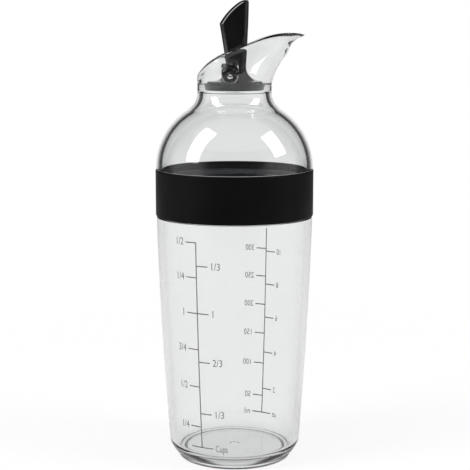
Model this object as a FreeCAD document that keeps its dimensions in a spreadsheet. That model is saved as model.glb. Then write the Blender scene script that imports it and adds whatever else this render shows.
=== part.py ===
import FreeCAD, Part
import math
import os
import re

import Sketcher

# Shaker bottle: a clear cup, a screw-on top with a black grip collar, a clear dome with a
# slanted pouring spout, and a thumb lever that lifts a stopper out of the neck.
# Millimetres, +Z up, +X is the pouring direction, the origin is under the middle of the foot.

# Driving sizes, each one named cell of the sheet
SIZES = {
    # Grip collar, the widest piece, which the other radii follow
    "collar_radius": 38.45,
    "collar_wall": 1.3,
    "collar_height": 22.6,
    "collar_gap": 0.4,
    "collar_edge_radius": 0.6,
    # Cup: how far its outside steps in, from the collar down to the foot
    "cup_setback": 0.4,
    "cup_taper": 5.85,
    "heel_setback": 4.4,
    "cup_shoulder_height": 120.4,
    "heel_height": 7.6,
    "heel_bow": 0.6,
    "foot_height": 2.0,
    "foot_step": 0.8,
    "foot_ring_width": 3.3,
    "foot_recess_depth": 2.0,
    "cup_wall": 2.9,
    "cup_wall_bow": 0.75,
    "cup_edge_radius": 0.5,
    "cup_neck_wall": 1.6,
    "floor_height": 5.3,
    "floor_corner_radius": 3.0,
    # Screw thread between cup and collar
    "thread_pitch": 6.0,
    "thread_turns": 1.25,
    "thread_depth": 0.8,
    "thread_root_width": 2.6,
    "thread_crest_width": 1.2,
    "thread_rise": 4.2,
    "thread_clearance": 0.25,
    "thread_flank_gap": 0.3,
    # Rim gasket
    "gasket_thickness": 2.1,
    "gasket_face_gap": 0.1,
    "gasket_side_gap": 0.3,
    # Dome and its neck
    "bond_gap": 0.05,
    "spigot_length": 3.95,
    "dome_setback": 0.25,
    "dome_arc_inset": 5.0,
    "dome_skirt": 0.55,
    "dome_wall": 2.8,
    "dome_neck_share": 0.4712,
    "dome_neck_length": 4.5,
    "neck_blend_radius": 9.0,
    "seat_taper": 1.35,
    "seat_depth": 3.5,
    "seat_land": 0.8,
    # Spout
    "spout_wall": 2.2,
    "spout_tip_rise": 23.0,
    "spout_tip_setback": 4.1,
    "spout_rear_flare": 1.0,
    "spout_nose_angle": 45.0,
    "rim_slope": 22.2,
    "rim_bend_setback": 5.75,
    "rim_bend_rise": 14.05,
    "rim_straight": 19.6,
    "rim_rear_radius": 28.0,
    "rim_crest_radius": 37.8,
    "rim_tip_radius": 26.0,
    # Lever, stopper and pin, measured from the top of the neck
    "pivot_setback": 2.0,
    "pivot_rise": 4.2,
    "pin_radius": 2.1,
    "pin_end_recess": 0.3,
    "pin_edge": 0.3,
    "pin_seat_gap": 0.02,
    "pin_running_gap": 0.08,
    "boss_radius": 3.5,
    "boss_rise": 6.0,
    "boss_stand": 4.0,
    "boss_depth": 3.0,
    "hub_radius": 3.3,
    "hub_side_gap": 0.3,
    "plate_setback": 1.1,
    "plate_thickness": 1.3,
    "plate_gap": 0.1,
    "flare_sweep": 0.3,
    "post_radius": 4.0,
    "post_offset": 1.0,
    "lever_height": 40.0,
    "lever_foot_width": 10.0,
    "lever_top_width": 13.0,
    "lever_crown_radius": 4.0,
    "lever_front_reach": 6.9,
    "lever_front_foot": 4.6,
    "lever_front_bow": 0.45,
    "lever_rear_reach": 7.1,
    "lever_slope_drop": 11.4,
    "lever_waist_reach": 4.2,
    "lever_waist_rise": 10.5,
    "lever_crest_width": 2.6,
    "lever_slope_bow": 1.1,
    "lever_edge_radius": 0.9,
    # Stopper seal and the stud that holds it
    "seal_top_gap": 0.8,
    "seal_foot_gap": 0.35,
    "seal_thickness": 3.3,
    "stud_radius": 4.0,
    "stud_head_radius": 5.4,
    "stud_head_height": 1.0,
    "stud_gap": 0.05,
}

# Share of the spout's tip rise, share of its reach past the neck, share of its rear flare
SPOUT_SECTIONS = (
    (0.00, 0.00, 0.0),
    (0.16, 0.07, 0.5),
    (0.40, 0.23, 0.8),
    (0.69, 0.50, 0.9),
    (0.92, 0.74, 1.0),
    (1.00, 0.99, 1.0),
    (1.10, 1.40, 1.0),
)
SHEET_NAME = "dims"
# Degrees that the rim's rear and front arcs run on, past the outside of the spout
RIM_REAR_SWEEP = 50
RIM_TIP_SWEEP = 45
LEFT, RIGHT = 1, -1
# Most that a straight edge strays from its axis
STRAIGHTNESS = 1e-4
# Depth that a ridge or boss reaches into the wall that carries it
OVERLAP = 0.3

# Radii of the screw fit and the shells, from the collar inwards
COLLAR_BORE = "(collar_radius - collar_wall)"
CUP_CREST = f"({COLLAR_BORE} - thread_clearance)"
NECK_ROOT = f"({CUP_CREST} - thread_depth)"
COLLAR_CREST = f"({NECK_ROOT} + thread_clearance)"
CUP_BORE = f"({NECK_ROOT} - cup_neck_wall)"
CUP_TOP = "(collar_radius - cup_setback)"
HEEL = f"({CUP_TOP} - cup_taper)"
FOOT = f"({HEEL} - heel_setback)"
DOME = "(collar_radius - dome_setback)"
DOME_ARC = f"({DOME} - dome_arc_inset)"

# Radii and half widths of the stopper and its seat, from the neck inwards
NECK = f"(dome_neck_share * {DOME})"
SEAT_MOUTH = f"({NECK} - dome_wall)"
SEAT = f"({SEAT_MOUTH} - seat_taper)"
SEAL_TOP = f"({SEAT_MOUTH} - seal_top_gap)"
SEAL_FOOT = f"({SEAT} - seal_foot_gap)"
PLATE = f"({SEAL_TOP} - plate_setback)"
BOSS_FACE = f"({NECK} - boss_stand)"

# Levels above the foot, and levels above the dome's foot
COLLAR_FOOT = "(cup_shoulder_height + collar_gap)"
DOME_FOOT = f"({COLLAR_FOOT} + collar_height + bond_gap)"
SPIGOT_FOOT = f"({DOME_FOOT} - spigot_length)"
GASKET_FOOT = f"({SPIGOT_FOOT} - gasket_face_gap - gasket_thickness)"
CUP_RIM = f"({GASKET_FOOT} - gasket_face_gap)"
BLEND_REACH = f"({NECK} + neck_blend_radius - {DOME} + {DOME_ARC})"
BLEND_ARM = f"({DOME_ARC} + neck_blend_radius)"
BLEND_LEVEL = f"(dome_skirt + sqrt({BLEND_ARM}^2 - {BLEND_REACH}^2))"
NECK_TOP = f"({BLEND_LEVEL} + dome_neck_length)"
LEVER_FOOT = f"({DOME_FOOT} + {NECK_TOP})"

doc = FreeCAD.newDocument("shaker_bottle")
sheet = doc.addObject("Spreadsheet::Sheet", SHEET_NAME)
for row, (alias, size) in enumerate(SIZES.items(), start=1):
    sheet.set(f"A{row}", alias)
    sheet.set(f"B{row}", str(size))
    sheet.setAlias(f"B{row}", alias)
doc.recompute()


def value(formula):
    """Number that a formula of sheet names gives."""
    return float(sheet.evalExpression(formula))


def bind(item, target, formula):
    """Tie a property or constraint to a formula of sheet names."""
    def qualified(match):
        word = match.group(0)
        return f"{SHEET_NAME}.{word}" if word in SIZES else word

    item.setExpression(target, re.sub(r"[a-z]\w*", qualified, formula))


def new_body(label, level="0"):
    """Body with its own label, standing at a level above the foot."""
    body = doc.addObject("PartDesign::Body", label)
    body.Label = label
    bind(body, "Placement.Base.z", level)
    return body


def new_sketch(body, name, role, offset="0", shift="0"):
    """Sketch on one of the body's own origin planes, moved along its normal and its first axis."""
    sketch = body.newObject("Sketcher::SketchObject", name)
    plane = next(item for item in body.Origin.OriginFeatures if item.Role == role)
    sketch.AttachmentSupport = (plane, [""])
    sketch.MapMode = "FlatFace"
    bind(sketch, "AttachmentOffset.Base.z", offset)
    bind(sketch, "AttachmentOffset.Base.x", shift)
    return sketch


def arc_between(start, end, radius, side):
    """Arc that bulges to one side of the way from start to end, and whether it runs counterclockwise."""
    chord = end - start
    left = FreeCAD.Vector(-chord.y, chord.x, 0).normalize()
    height = math.sqrt(max(radius ** 2 - (chord.Length / 2) ** 2, 0.0))
    centre = (start + end) * 0.5 - left * (side * height)
    first = math.atan2(start.y - centre.y, start.x - centre.x)
    last = math.atan2(end.y - centre.y, end.x - centre.x)
    counterclockwise = side == RIGHT
    if not counterclockwise:
        first, last = last, first
    if last < first:
        last += 2 * math.pi
    circle = Part.Circle(centre, FreeCAD.Vector(0, 0, 1), radius)
    return Part.ArcOfCircle(circle, first, last), counterclockwise


def outline(sketch, steps):
    """Draw a closed outline and pin each of its corners to the sheet.

    A step is (x, y), reached by a straight side, or (x, y, radius, side), reached by an arc that
    bulges to that side of the way. The outline starts and ends at the last step.
    """
    corners = [FreeCAD.Vector(value(step[0]), value(step[1]), 0) for step in steps]
    curves, ends = [], []
    for index, step in enumerate(steps):
        start, end = corners[index - 1], corners[index]
        if len(step) == 2:
            curves.append(Part.LineSegment(start, end))
            ends.append((1, 2))
        else:
            arc, counterclockwise = arc_between(start, end, value(step[2]), step[3])
            curves.append(arc)
            ends.append((1, 2) if counterclockwise else (2, 1))
    sketch.addGeometry(curves, False)
    for index, step in enumerate(steps):
        following = (index + 1) % len(steps)
        last, first = ends[index][1], ends[following][0]
        sketch.addConstraint(Sketcher.Constraint("Coincident", index, last, following, first))
        for kind, formula, number in zip(("DistanceX", "DistanceY"), step, corners[index]):
            pinned = sketch.addConstraint(Sketcher.Constraint(kind, -1, 1, index, last, number))
            bind(sketch, f"Constraints[{pinned}]", formula)
        if len(step) > 2:
            rounded = sketch.addConstraint(Sketcher.Constraint("Radius", index, value(step[2])))
            bind(sketch, f"Constraints[{rounded}]", step[2])
    return sketch


def circle_at(sketch, x, y, radius):
    """Draw one circle and pin its middle and radius to the sheet."""
    middle = FreeCAD.Vector(value(x), value(y), 0)
    sketch.addGeometry(Part.Circle(middle, FreeCAD.Vector(0, 0, 1), value(radius)), False)
    for kind, formula, number in (("DistanceX", x, middle.x), ("DistanceY", y, middle.y)):
        pinned = sketch.addConstraint(Sketcher.Constraint(kind, -1, 1, 0, 3, number))
        bind(sketch, f"Constraints[{pinned}]", formula)
    rounded = sketch.addConstraint(Sketcher.Constraint("Radius", 0, value(radius)))
    bind(sketch, f"Constraints[{rounded}]", radius)
    return sketch


def turned(body, name, steps, shift="0"):
    """Solid of revolution about an upright axis, from an outline of radius and height."""
    sketch = outline(new_sketch(body, name + "Profile", "XZ_Plane", shift=shift), steps)
    feature = body.newObject("PartDesign::Revolution", name)
    feature.Profile = sketch
    feature.ReferenceAxis = (sketch, ["V_Axis"])
    feature.Angle = 360
    doc.recompute()
    return feature


def swept_ridge(body, name, steps):
    """Helical ridge of the screw thread, from its section at the start of the turn."""
    sketch = outline(new_sketch(body, name + "Section", "XZ_Plane"), steps)
    feature = body.newObject("PartDesign::AdditiveHelix", name)
    feature.Profile = sketch
    feature.ReferenceAxis = (sketch, ["V_Axis"])
    feature.Mode = "pitch-turns-angle"
    bind(feature, "Pitch", "thread_pitch")
    bind(feature, "Turns", "thread_turns")
    doc.recompute()
    return feature


def extruded(body, kind, name, sketch, length, symmetric=True, backwards=False):
    """Pad or pocket of a sketch, to both sides of it or to one."""
    feature = body.newObject("PartDesign::" + kind, name)
    feature.Profile = sketch
    feature.SideType = "Symmetric" if symmetric else "One side"
    feature.Reversed = backwards
    bind(feature, "Length", length)
    doc.recompute()
    return feature


def bow_radius(run, rise, bow):
    """Radius of the arc over a run and a rise that stands off its chord by the bow."""
    return f"((({run})^2 + ({rise})^2 + 4 * ({bow})^2) / (8 * ({bow})))"


def make_cup():
    """Tapered cup with a stepped foot, a rounded floor and a threaded neck."""
    cup = new_body("cup")
    floor_wall = f"({HEEL} - cup_wall)"
    corner_top = "(floor_height + floor_corner_radius)"
    wall_rise = "(cup_shoulder_height - heel_height)"
    bore_rise = f"(cup_shoulder_height - {corner_top})"
    heel_arc = bow_radius("heel_setback - foot_step", "heel_height - foot_height", "heel_bow")
    wall_arc = bow_radius("cup_taper", wall_rise, "cup_wall_bow")
    bore_arc = bow_radius(f"{CUP_BORE} - {floor_wall}", bore_rise, "cup_wall_bow")
    turned(cup, "CupShell", [
        (f"{FOOT} - foot_ring_width", "0"),
        (FOOT, "0"),
        (FOOT, "foot_height"),
        (f"{FOOT} + foot_step", "foot_height"),
        (HEEL, "heel_height", heel_arc, RIGHT),
        (CUP_TOP, "cup_shoulder_height - cup_edge_radius", wall_arc, RIGHT),
        (f"{CUP_TOP} - cup_edge_radius", "cup_shoulder_height", "cup_edge_radius", RIGHT),
        (NECK_ROOT, "cup_shoulder_height"),
        (NECK_ROOT, CUP_RIM),
        (CUP_BORE, CUP_RIM),
        (CUP_BORE, "cup_shoulder_height"),
        (floor_wall, corner_top, bore_arc, LEFT),
        (f"{floor_wall} - floor_corner_radius", "floor_height", "floor_corner_radius", RIGHT),
        ("0", "floor_height"),
        ("0", "foot_recess_depth"),
        (f"{FOOT} - foot_ring_width", "foot_recess_depth"),
    ])
    middle = "(cup_shoulder_height + thread_rise)"
    swept_ridge(cup, "CupThread", [
        (f"{NECK_ROOT} - {OVERLAP}", f"{middle} - thread_root_width / 2"),
        (NECK_ROOT, f"{middle} - thread_root_width / 2"),
        (CUP_CREST, f"{middle} - thread_crest_width / 2"),
        (CUP_CREST, f"{middle} + thread_crest_width / 2"),
        (NECK_ROOT, f"{middle} + thread_root_width / 2"),
        (f"{NECK_ROOT} - {OVERLAP}", f"{middle} + thread_root_width / 2"),
    ])
    return cup


def make_grip_collar():
    """Black band with the inside thread that runs under the cup's ridge."""
    collar = new_body("grip_collar", COLLAR_FOOT)
    turned(collar, "CollarShell", [
        (COLLAR_BORE, "0"),
        ("collar_radius - collar_edge_radius", "0"),
        ("collar_radius", "collar_edge_radius", "collar_edge_radius", RIGHT),
        ("collar_radius", "collar_height - collar_edge_radius"),
        ("collar_radius - collar_edge_radius", "collar_height", "collar_edge_radius", RIGHT),
        (COLLAR_BORE, "collar_height"),
    ])
    # The two ridges overlap in radius, so their middles keep the flanks' width there and a gap
    flank_slope = "((thread_root_width - thread_crest_width) / thread_depth)"
    shared_flank = f"((thread_depth - thread_clearance) * {flank_slope} / 2)"
    spacing = f"(thread_crest_width + {shared_flank} + thread_flank_gap)"
    middle = f"(thread_rise - collar_gap - {spacing})"
    swept_ridge(collar, "CollarThread", [
        (f"{COLLAR_BORE} + {OVERLAP}", f"{middle} + thread_root_width / 2"),
        (COLLAR_BORE, f"{middle} + thread_root_width / 2"),
        (COLLAR_CREST, f"{middle} + thread_crest_width / 2"),
        (COLLAR_CREST, f"{middle} - thread_crest_width / 2"),
        (COLLAR_BORE, f"{middle} - thread_root_width / 2"),
        (f"{COLLAR_BORE} + {OVERLAP}", f"{middle} - thread_root_width / 2"),
    ])
    return collar


def make_rim_gasket():
    """Flat ring that the cup's rim presses against the dome."""
    gasket = new_body("rim_gasket", GASKET_FOOT)
    turned(gasket, "GasketRing", [
        (CUP_BORE, "0"),
        (f"{COLLAR_BORE} - gasket_side_gap", "0"),
        (f"{COLLAR_BORE} - gasket_side_gap", "gasket_thickness"),
        (CUP_BORE, "gasket_thickness"),
    ])
    return gasket


def spout_section(body, name, shares, inset):
    """Egg-shaped level section of the spout: half round at the rear, drawn out to a nose in front."""
    rise, reach, flare = shares
    radius = f"({NECK} + {flare} * spout_rear_flare - {inset})"
    overhang = f"({DOME} - spout_tip_setback - {NECK})"
    front = f"({NECK} + {reach} * {overhang} - {inset})"
    sine, cosine = "sin(spout_nose_angle)", "cos(spout_nose_angle)"
    side_arc = f"(({front} * {cosine} - {radius} * (1 - {sine})) / ({sine} + {cosine} - 1))"
    nose_arc = f"(({radius} - {side_arc} * (1 - {cosine})) / {cosine})"
    join_x, join_y = f"({side_arc} * {sine})", f"({nose_arc} * {cosine})"
    sketch = new_sketch(body, name, "XY_Plane", f"{NECK_TOP} + {rise} * spout_tip_rise")
    return outline(sketch, [
        (f"-{radius}", "0", radius, LEFT),
        ("0", radius, radius, LEFT),
        (join_x, join_y, side_arc, LEFT),
        (join_x, f"-{join_y}", nose_arc, LEFT),
        ("0", f"-{radius}", side_arc, LEFT),
    ])


def spout_loft(body, kind, name, inset):
    """Smooth solid through the spout's sections, drawn in by the inset."""
    sections = [
        spout_section(body, f"{name}Section{index}", shares, inset)
        for index, shares in enumerate(SPOUT_SECTIONS)
    ]
    feature = body.newObject("PartDesign::" + kind, name)
    feature.Profile = sections[0]
    feature.Sections = sections[1:]
    doc.recompute()
    return feature


def make_dome_spout():
    """Clear dome with its neck, stopper seat, spout, pivot bosses and pin holes."""
    dome = new_body("dome_spout", DOME_FOOT)
    spigot_radius = f"({COLLAR_BORE} - bond_gap)"
    inner_radius = f"({DOME} - dome_wall)"
    inner_arc = f"({DOME_ARC} - dome_wall)"
    inner_blend = "(neck_blend_radius + dome_wall)"
    blend_share = f"({DOME_ARC} / {BLEND_ARM})"
    inner_share = f"({inner_arc} / {BLEND_ARM})"
    blend_rise = f"({BLEND_LEVEL} - dome_skirt)"
    turned(dome, "DomeShell", [
        (inner_radius, "-spigot_length"),
        (spigot_radius, "-spigot_length"),
        (spigot_radius, "0"),
        (DOME, "0"),
        (DOME, "dome_skirt"),
        (f"dome_arc_inset + {BLEND_REACH} * {blend_share}", f"dome_skirt + {blend_rise} * {blend_share}",
         DOME_ARC, RIGHT),
        (NECK, BLEND_LEVEL, "neck_blend_radius", LEFT),
        (NECK, NECK_TOP),
        (SEAT_MOUTH, NECK_TOP),
        (SEAT, f"{NECK_TOP} - seat_depth"),
        (SEAT, f"{NECK_TOP} - seat_depth - seat_land"),
        (SEAT_MOUTH, f"{NECK_TOP} - seat_depth - seat_land"),
        (SEAT_MOUTH, BLEND_LEVEL),
        (f"dome_arc_inset + {BLEND_REACH} * {inner_share}", f"dome_skirt + {blend_rise} * {inner_share}",
         inner_blend, RIGHT),
        (inner_radius, "dome_skirt", inner_arc, LEFT),
    ])
    spout_loft(dome, "AdditiveLoft", "Spout", "0")
    spout_loft(dome, "SubtractiveLoft", "SpoutChannel", "spout_wall")
    add_pivot_bosses(dome)
    trim_rim(dome)
    hole = circle_at(new_sketch(dome, "PinHole", "XZ_Plane"), "-pivot_setback",
                     f"{NECK_TOP} + pivot_rise", "pin_radius + pin_seat_gap")
    extruded(dome, "Pocket", "PinHoles", hole, f"2 * {DOME}")
    return dome


def add_pivot_bosses(dome):
    """Two pads inside the spout, round below and open upwards, that hold the pin."""
    level = f"({NECK_TOP} + pivot_rise)"
    right, left = "(boss_radius - pivot_setback)", "(-boss_radius - pivot_setback)"
    pad = outline(new_sketch(dome, "BossOutline", "XZ_Plane", BOSS_FACE), [
        ("-pivot_setback", f"{level} - boss_radius", "boss_radius", RIGHT),
        (right, level, "boss_radius", RIGHT),
        (right, f"{level} + boss_rise"),
        (left, f"{level} + boss_rise"),
        (left, level),
    ])
    boss = extruded(dome, "Pad", "Boss", pad, "boss_depth", symmetric=False)
    pair = dome.newObject("PartDesign::Mirrored", "BossPair")
    pair.Originals = [boss]
    plane = next(item for item in dome.Origin.OriginFeatures if item.Role == "XZ_Plane")
    pair.MirrorPlane = (plane, [""])
    dome.Tip = pair
    doc.recompute()


def trim_rim(dome):
    """Cut the spout down to its slanted rim, which rises to a crest and dips to the pouring tip."""
    slope_sine, slope_cosine = "sin(rim_slope)", "cos(rim_slope)"
    bend = ("-rim_bend_setback", f"({NECK_TOP} + rim_bend_rise)")
    rear = (f"({bend[0]} + rim_rear_radius * ({slope_sine} - sin(rim_slope + {RIM_REAR_SWEEP})))",
            f"({bend[1]} - rim_rear_radius * ({slope_cosine} - cos(rim_slope + {RIM_REAR_SWEEP})))")
    rise_end = (f"({bend[0]} + rim_straight * {slope_cosine})",
                f"({bend[1]} + rim_straight * {slope_sine})")
    crest = (f"({rise_end[0]} + rim_crest_radius * {slope_sine})",
             f"({rise_end[1]} + rim_crest_radius * (1 - {slope_cosine}))")
    front = (f"({crest[0]} + rim_tip_radius * sin({RIM_TIP_SWEEP}))",
             f"({crest[1]} - rim_tip_radius * (1 - cos({RIM_TIP_SWEEP})))")
    above = f"({crest[1]} + spout_tip_rise)"
    beyond = f"(2 * {DOME})"
    waste = outline(new_sketch(dome, "RimOutline", "XZ_Plane"), [
        (*bend, "rim_rear_radius", LEFT),
        rise_end,
        (*crest, "rim_crest_radius", LEFT),
        (*front, "rim_tip_radius", LEFT),
        (beyond, front[1]),
        (beyond, above),
        (f"-{beyond}", above),
        (f"-{beyond}", rear[1]),
        rear,
    ])
    extruded(dome, "Pocket", "RimCut", waste, f"2 * {DOME}")


def runs_along(edge, axis):
    """Whether an edge is a straight line along one of the axes."""
    other_lengths = [getattr(edge.BoundBox, f"{name}Length") for name in "XYZ" if name != axis]
    return max(other_lengths) < STRAIGHTNESS


def make_thumb_lever():
    """Lever paddle on a hub, with the stopper plate flaring out below and a stud for the seal."""
    lever = new_body("thumb_lever", LEVER_FOOT)
    foot = "(plate_thickness - plate_gap)"
    flank_run = "((lever_top_width - lever_foot_width) / 2)"
    flank_rise = f"(lever_height - lever_crown_radius - {foot})"
    flank_arc = f"(({flank_rise}^2 + {flank_run}^2) / (2 * {flank_run}))"
    front = outline(new_sketch(lever, "PaddleFront", "YZ_Plane"), [
        ("-lever_foot_width / 2", foot, flank_arc, RIGHT),
        ("lever_foot_width / 2", foot),
        ("lever_top_width / 2", "lever_height - lever_crown_radius", flank_arc, RIGHT),
        ("lever_top_width / 2 - lever_crown_radius", "lever_height", "lever_crown_radius", RIGHT),
        ("lever_crown_radius - lever_top_width / 2", "lever_height"),
        ("-lever_top_width / 2", "lever_height - lever_crown_radius", "lever_crown_radius", RIGHT),
    ])
    extruded(lever, "Pad", "Paddle", front, "4 * lever_rear_reach")
    above, beyond = "(lever_height + lever_edge_radius)", "(4 * lever_rear_reach)"
    below = f"({foot} - lever_edge_radius)"
    front_arc = bow_radius("lever_front_reach - lever_front_foot", f"{above} - {below}", "lever_front_bow")
    ahead = outline(new_sketch(lever, "PaddleAhead", "XZ_Plane"), [
        ("lever_front_foot", below, front_arc, RIGHT),
        (beyond, below),
        (beyond, above),
        ("lever_front_reach", above),
    ])
    extruded(lever, "Pocket", "AheadCut", ahead, "2 * lever_top_width")
    rear_rise = "(lever_height - lever_slope_drop)"
    rear_lean = f"((lever_rear_reach - lever_waist_reach) / ({rear_rise} - lever_waist_rise))"
    slope_run = "(lever_front_reach - lever_crest_width + lever_rear_reach)"
    slope_arc = bow_radius(slope_run, "lever_slope_drop", "lever_slope_bow")
    behind = outline(new_sketch(lever, "PaddleBehind", "XZ_Plane"), [
        (f"-{beyond}", below),
        (f"{rear_lean} * (lever_waist_rise - {below}) - lever_waist_reach", below),
        ("-lever_rear_reach", rear_rise),
        ("lever_front_reach - lever_crest_width", "lever_height", slope_arc, LEFT),
        ("lever_front_reach - lever_crest_width", above),
        (f"-{beyond}", above),
    ])
    cut = extruded(lever, "Pocket", "BehindCut", behind, "2 * lever_top_width")
    rounded = lever.newObject("PartDesign::Fillet", "PaddleEdges")
    lowest = value(foot) + value("lever_edge_radius")
    edges = [
        f"Edge{index}" for index, edge in enumerate(cut.Shape.Edges, start=1)
        if edge.BoundBox.ZMax > lowest and not runs_along(edge, "X")
    ]
    rounded.Base = (cut, edges)
    bind(rounded, "Radius", "lever_edge_radius")
    doc.recompute()

    seat = "(-plate_gap)"
    stud_foot = f"({seat} - seal_thickness - stud_gap - stud_head_height)"
    flare_foot = f"({PLATE} - post_offset)"
    flare_arc = f"({flare_foot} - post_radius + flare_sweep)"
    flare_top = f"({foot} + sqrt({flare_arc}^2 - flare_sweep^2))"
    turned(lever, "StopperPlate", [
        ("0", stud_foot),
        ("stud_head_radius", stud_foot),
        ("stud_head_radius", f"{stud_foot} + stud_head_height"),
        ("stud_radius", f"{stud_foot} + stud_head_height"),
        ("stud_radius", seat),
        (PLATE, seat),
        (PLATE, foot),
        ("0", foot),
    ])
    turned(lever, "PostFlare", [
        ("0", seat),
        (flare_foot, seat),
        (flare_foot, foot),
        ("post_radius", flare_top, flare_arc, LEFT),
        ("0", flare_top),
    ], shift="post_offset")
    hub = circle_at(new_sketch(lever, "HubCircle", "XZ_Plane"), "-pivot_setback", "pivot_rise",
                    "hub_radius")
    extruded(lever, "Pad", "Hub", hub, f"2 * ({BOSS_FACE} - hub_side_gap)")
    bore = circle_at(new_sketch(lever, "BoreCircle", "XZ_Plane"), "-pivot_setback", "pivot_rise",
                     "pin_radius + pin_running_gap")
    extruded(lever, "Pocket", "Bore", bore, f"4 * {BOSS_FACE}")
    return lever


def make_stopper_seal():
    """Soft tapered plug that snaps over the stud under the stopper plate."""
    seal = new_body("stopper_seal", LEVER_FOOT)
    foot = "(-plate_gap - seal_thickness)"
    turned(seal, "SealPlug", [
        ("stud_radius + stud_gap", foot),
        (SEAL_FOOT, foot),
        (SEAL_TOP, "-plate_gap"),
        ("stud_radius + stud_gap", "-plate_gap"),
    ])
    return seal


def make_pivot_pin():
    """Straight pin with broken edges, held in the bosses and the spout's walls."""
    pin = new_body("pivot_pin", LEVER_FOOT)
    section = circle_at(new_sketch(pin, "PinCircle", "XZ_Plane"), "-pivot_setback", "pivot_rise",
                        "pin_radius")
    shank = extruded(pin, "Pad", "Shank", section, f"2 * ({NECK} - pin_end_recess)")
    ends = pin.newObject("PartDesign::Chamfer", "PinEnds")
    ends.Base = (shank, [
        f"Edge{index}" for index, edge in enumerate(shank.Shape.Edges, start=1)
        if edge.Curve.TypeId == "Part::GeomCircle"
    ])
    bind(ends, "Size", "pin_edge")
    doc.recompute()
    return pin


def check(pieces):
    """Stop before anything is written if an object failed or a piece isn't one sound solid."""
    for item in doc.Objects:
        if {"Invalid", "Error"} & set(item.State):
            raise RuntimeError(f"{item.Name} failed: {item.State}")
    for piece in pieces:
        if piece.Shape.isNull() or not piece.Shape.isValid() or len(piece.Shape.Solids) != 1:
            raise RuntimeError(f"{piece.Label} isn't one sound solid")


def main():
    """Build every piece, check them and write one file for each."""
    makers = (make_cup, make_grip_collar, make_rim_gasket, make_dome_spout, make_thumb_lever,
              make_stopper_seal, make_pivot_pin)
    pieces = [make() for make in makers]
    doc.recompute()
    check(pieces)
    os.makedirs("parts", exist_ok=True)
    for piece in pieces:
        piece.Shape.exportStep(f"parts/{piece.Label}.step")
        print(f"{piece.Label}: {piece.Shape.Volume / 1000:.2f} cubic centimetres")


main()
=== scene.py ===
"""Looks of a dressing shaker: clear shells, a black lever and collar, printed measuring scales.

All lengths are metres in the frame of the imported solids: +Z up, +X towards the pouring tip.
"""
import logging
import math
from dataclasses import dataclass, field
from enum import Enum
from typing import Callable, Sequence

import bpy
import numpy as np
from mathutils import Matrix, Vector


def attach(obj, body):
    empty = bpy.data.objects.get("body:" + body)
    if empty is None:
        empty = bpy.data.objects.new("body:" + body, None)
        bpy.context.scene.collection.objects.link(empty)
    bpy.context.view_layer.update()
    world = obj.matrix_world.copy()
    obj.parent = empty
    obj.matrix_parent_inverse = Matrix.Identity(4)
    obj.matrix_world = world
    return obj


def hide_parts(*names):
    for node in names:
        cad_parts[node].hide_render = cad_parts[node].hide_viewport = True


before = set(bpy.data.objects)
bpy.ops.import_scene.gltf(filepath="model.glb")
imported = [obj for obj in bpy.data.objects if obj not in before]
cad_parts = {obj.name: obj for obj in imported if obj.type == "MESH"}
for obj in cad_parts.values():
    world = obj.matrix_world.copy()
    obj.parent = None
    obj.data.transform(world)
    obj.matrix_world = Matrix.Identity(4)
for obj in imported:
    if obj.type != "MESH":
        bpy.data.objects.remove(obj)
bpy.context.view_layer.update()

LOG = logging.getLogger("shaker_bottle")
MM = 0.001
# Colour sockets of a Mix node, whose names its number sockets share
MIX_FIRST_COLOUR, MIX_SECOND_COLOUR, MIX_COLOUR_RESULT = 6, 7, 2

Piece = bpy.types.Object
Material = bpy.types.Material
Socket = bpy.types.NodeSocket
Point = tuple[float, float]
Colour = tuple[float, float, float]
Swell = Callable[[np.ndarray, float, float], np.ndarray]
Distance = Callable[..., np.ndarray]
# Cells for each metre and octaves of a noise
Noise = tuple[float, float]


class Body(Enum):
    """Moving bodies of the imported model."""

    CUP = "cup"
    GASKET = "gasket"
    TOP = "top"
    LEVER = "lever"


class Slot(Enum):
    """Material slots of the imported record."""

    CLEAR = "clear_plastic"
    GLOSS = "gloss_black"
    SILICONE = "grey_silicone"
    STEEL = "bright_steel"


class Side(Enum):
    """Side of a scale's line that a mark stands on, as the scale is read."""

    LEFT = -1
    RIGHT = 1


# Shader nodes


class Nodes:
    """Node tree with short calls to add and join its nodes."""

    def __init__(self, tree: bpy.types.NodeTree) -> None:
        """Empty a tree.

        Args:
            tree: Tree of a material or a world.
        """
        self.tree = tree
        self.tree.nodes.clear()

    def add(self, kind: str, inputs: dict[str | int, object] | None = None,
            **settings: object) -> bpy.types.Node:
        """Add a node.

        Args:
            kind: Blender's name of the node, without its ShaderNode prefix.
            inputs: Value or output socket of each input, by its name or number.
            settings: Properties of the node itself.

        Returns:
            The new node.
        """
        node = self.tree.nodes.new("ShaderNode" + kind)
        for key, setting in settings.items():
            setattr(node, key, setting)
        for key, given in (inputs or {}).items():
            if isinstance(given, Socket):
                self.tree.links.new(given, node.inputs[key])
            else:
                node.inputs[key].default_value = given
        return node

    def math(self, operation: str, *given: object) -> Socket:
        """Result of a sum on values and sockets.

        Args:
            operation: Blender's name of the sum.
            given: Values or sockets that go into it.

        Returns:
            The result's socket.
        """
        return self.add("Math", dict(enumerate(given)), operation=operation).outputs["Value"]

    def spread(self, value: Socket, low: float, high: float, start: float = 0.3,
               end: float = 0.7, shape: str = "LINEAR") -> Socket:
        """Map a value from one range to another.

        Args:
            value: Socket to map.
            low: Result at the start of the range.
            high: Result at its end.
            start: Start of the range.
            end: End of the range.
            shape: Blender's name of the way between the two.

        Returns:
            The mapped socket.
        """
        mapped = self.add("MapRange", {
            "Value": value, "From Min": start, "From Max": end, "To Min": low, "To Max": high,
        }, interpolation_type=shape)
        return mapped.outputs["Result"]


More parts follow.
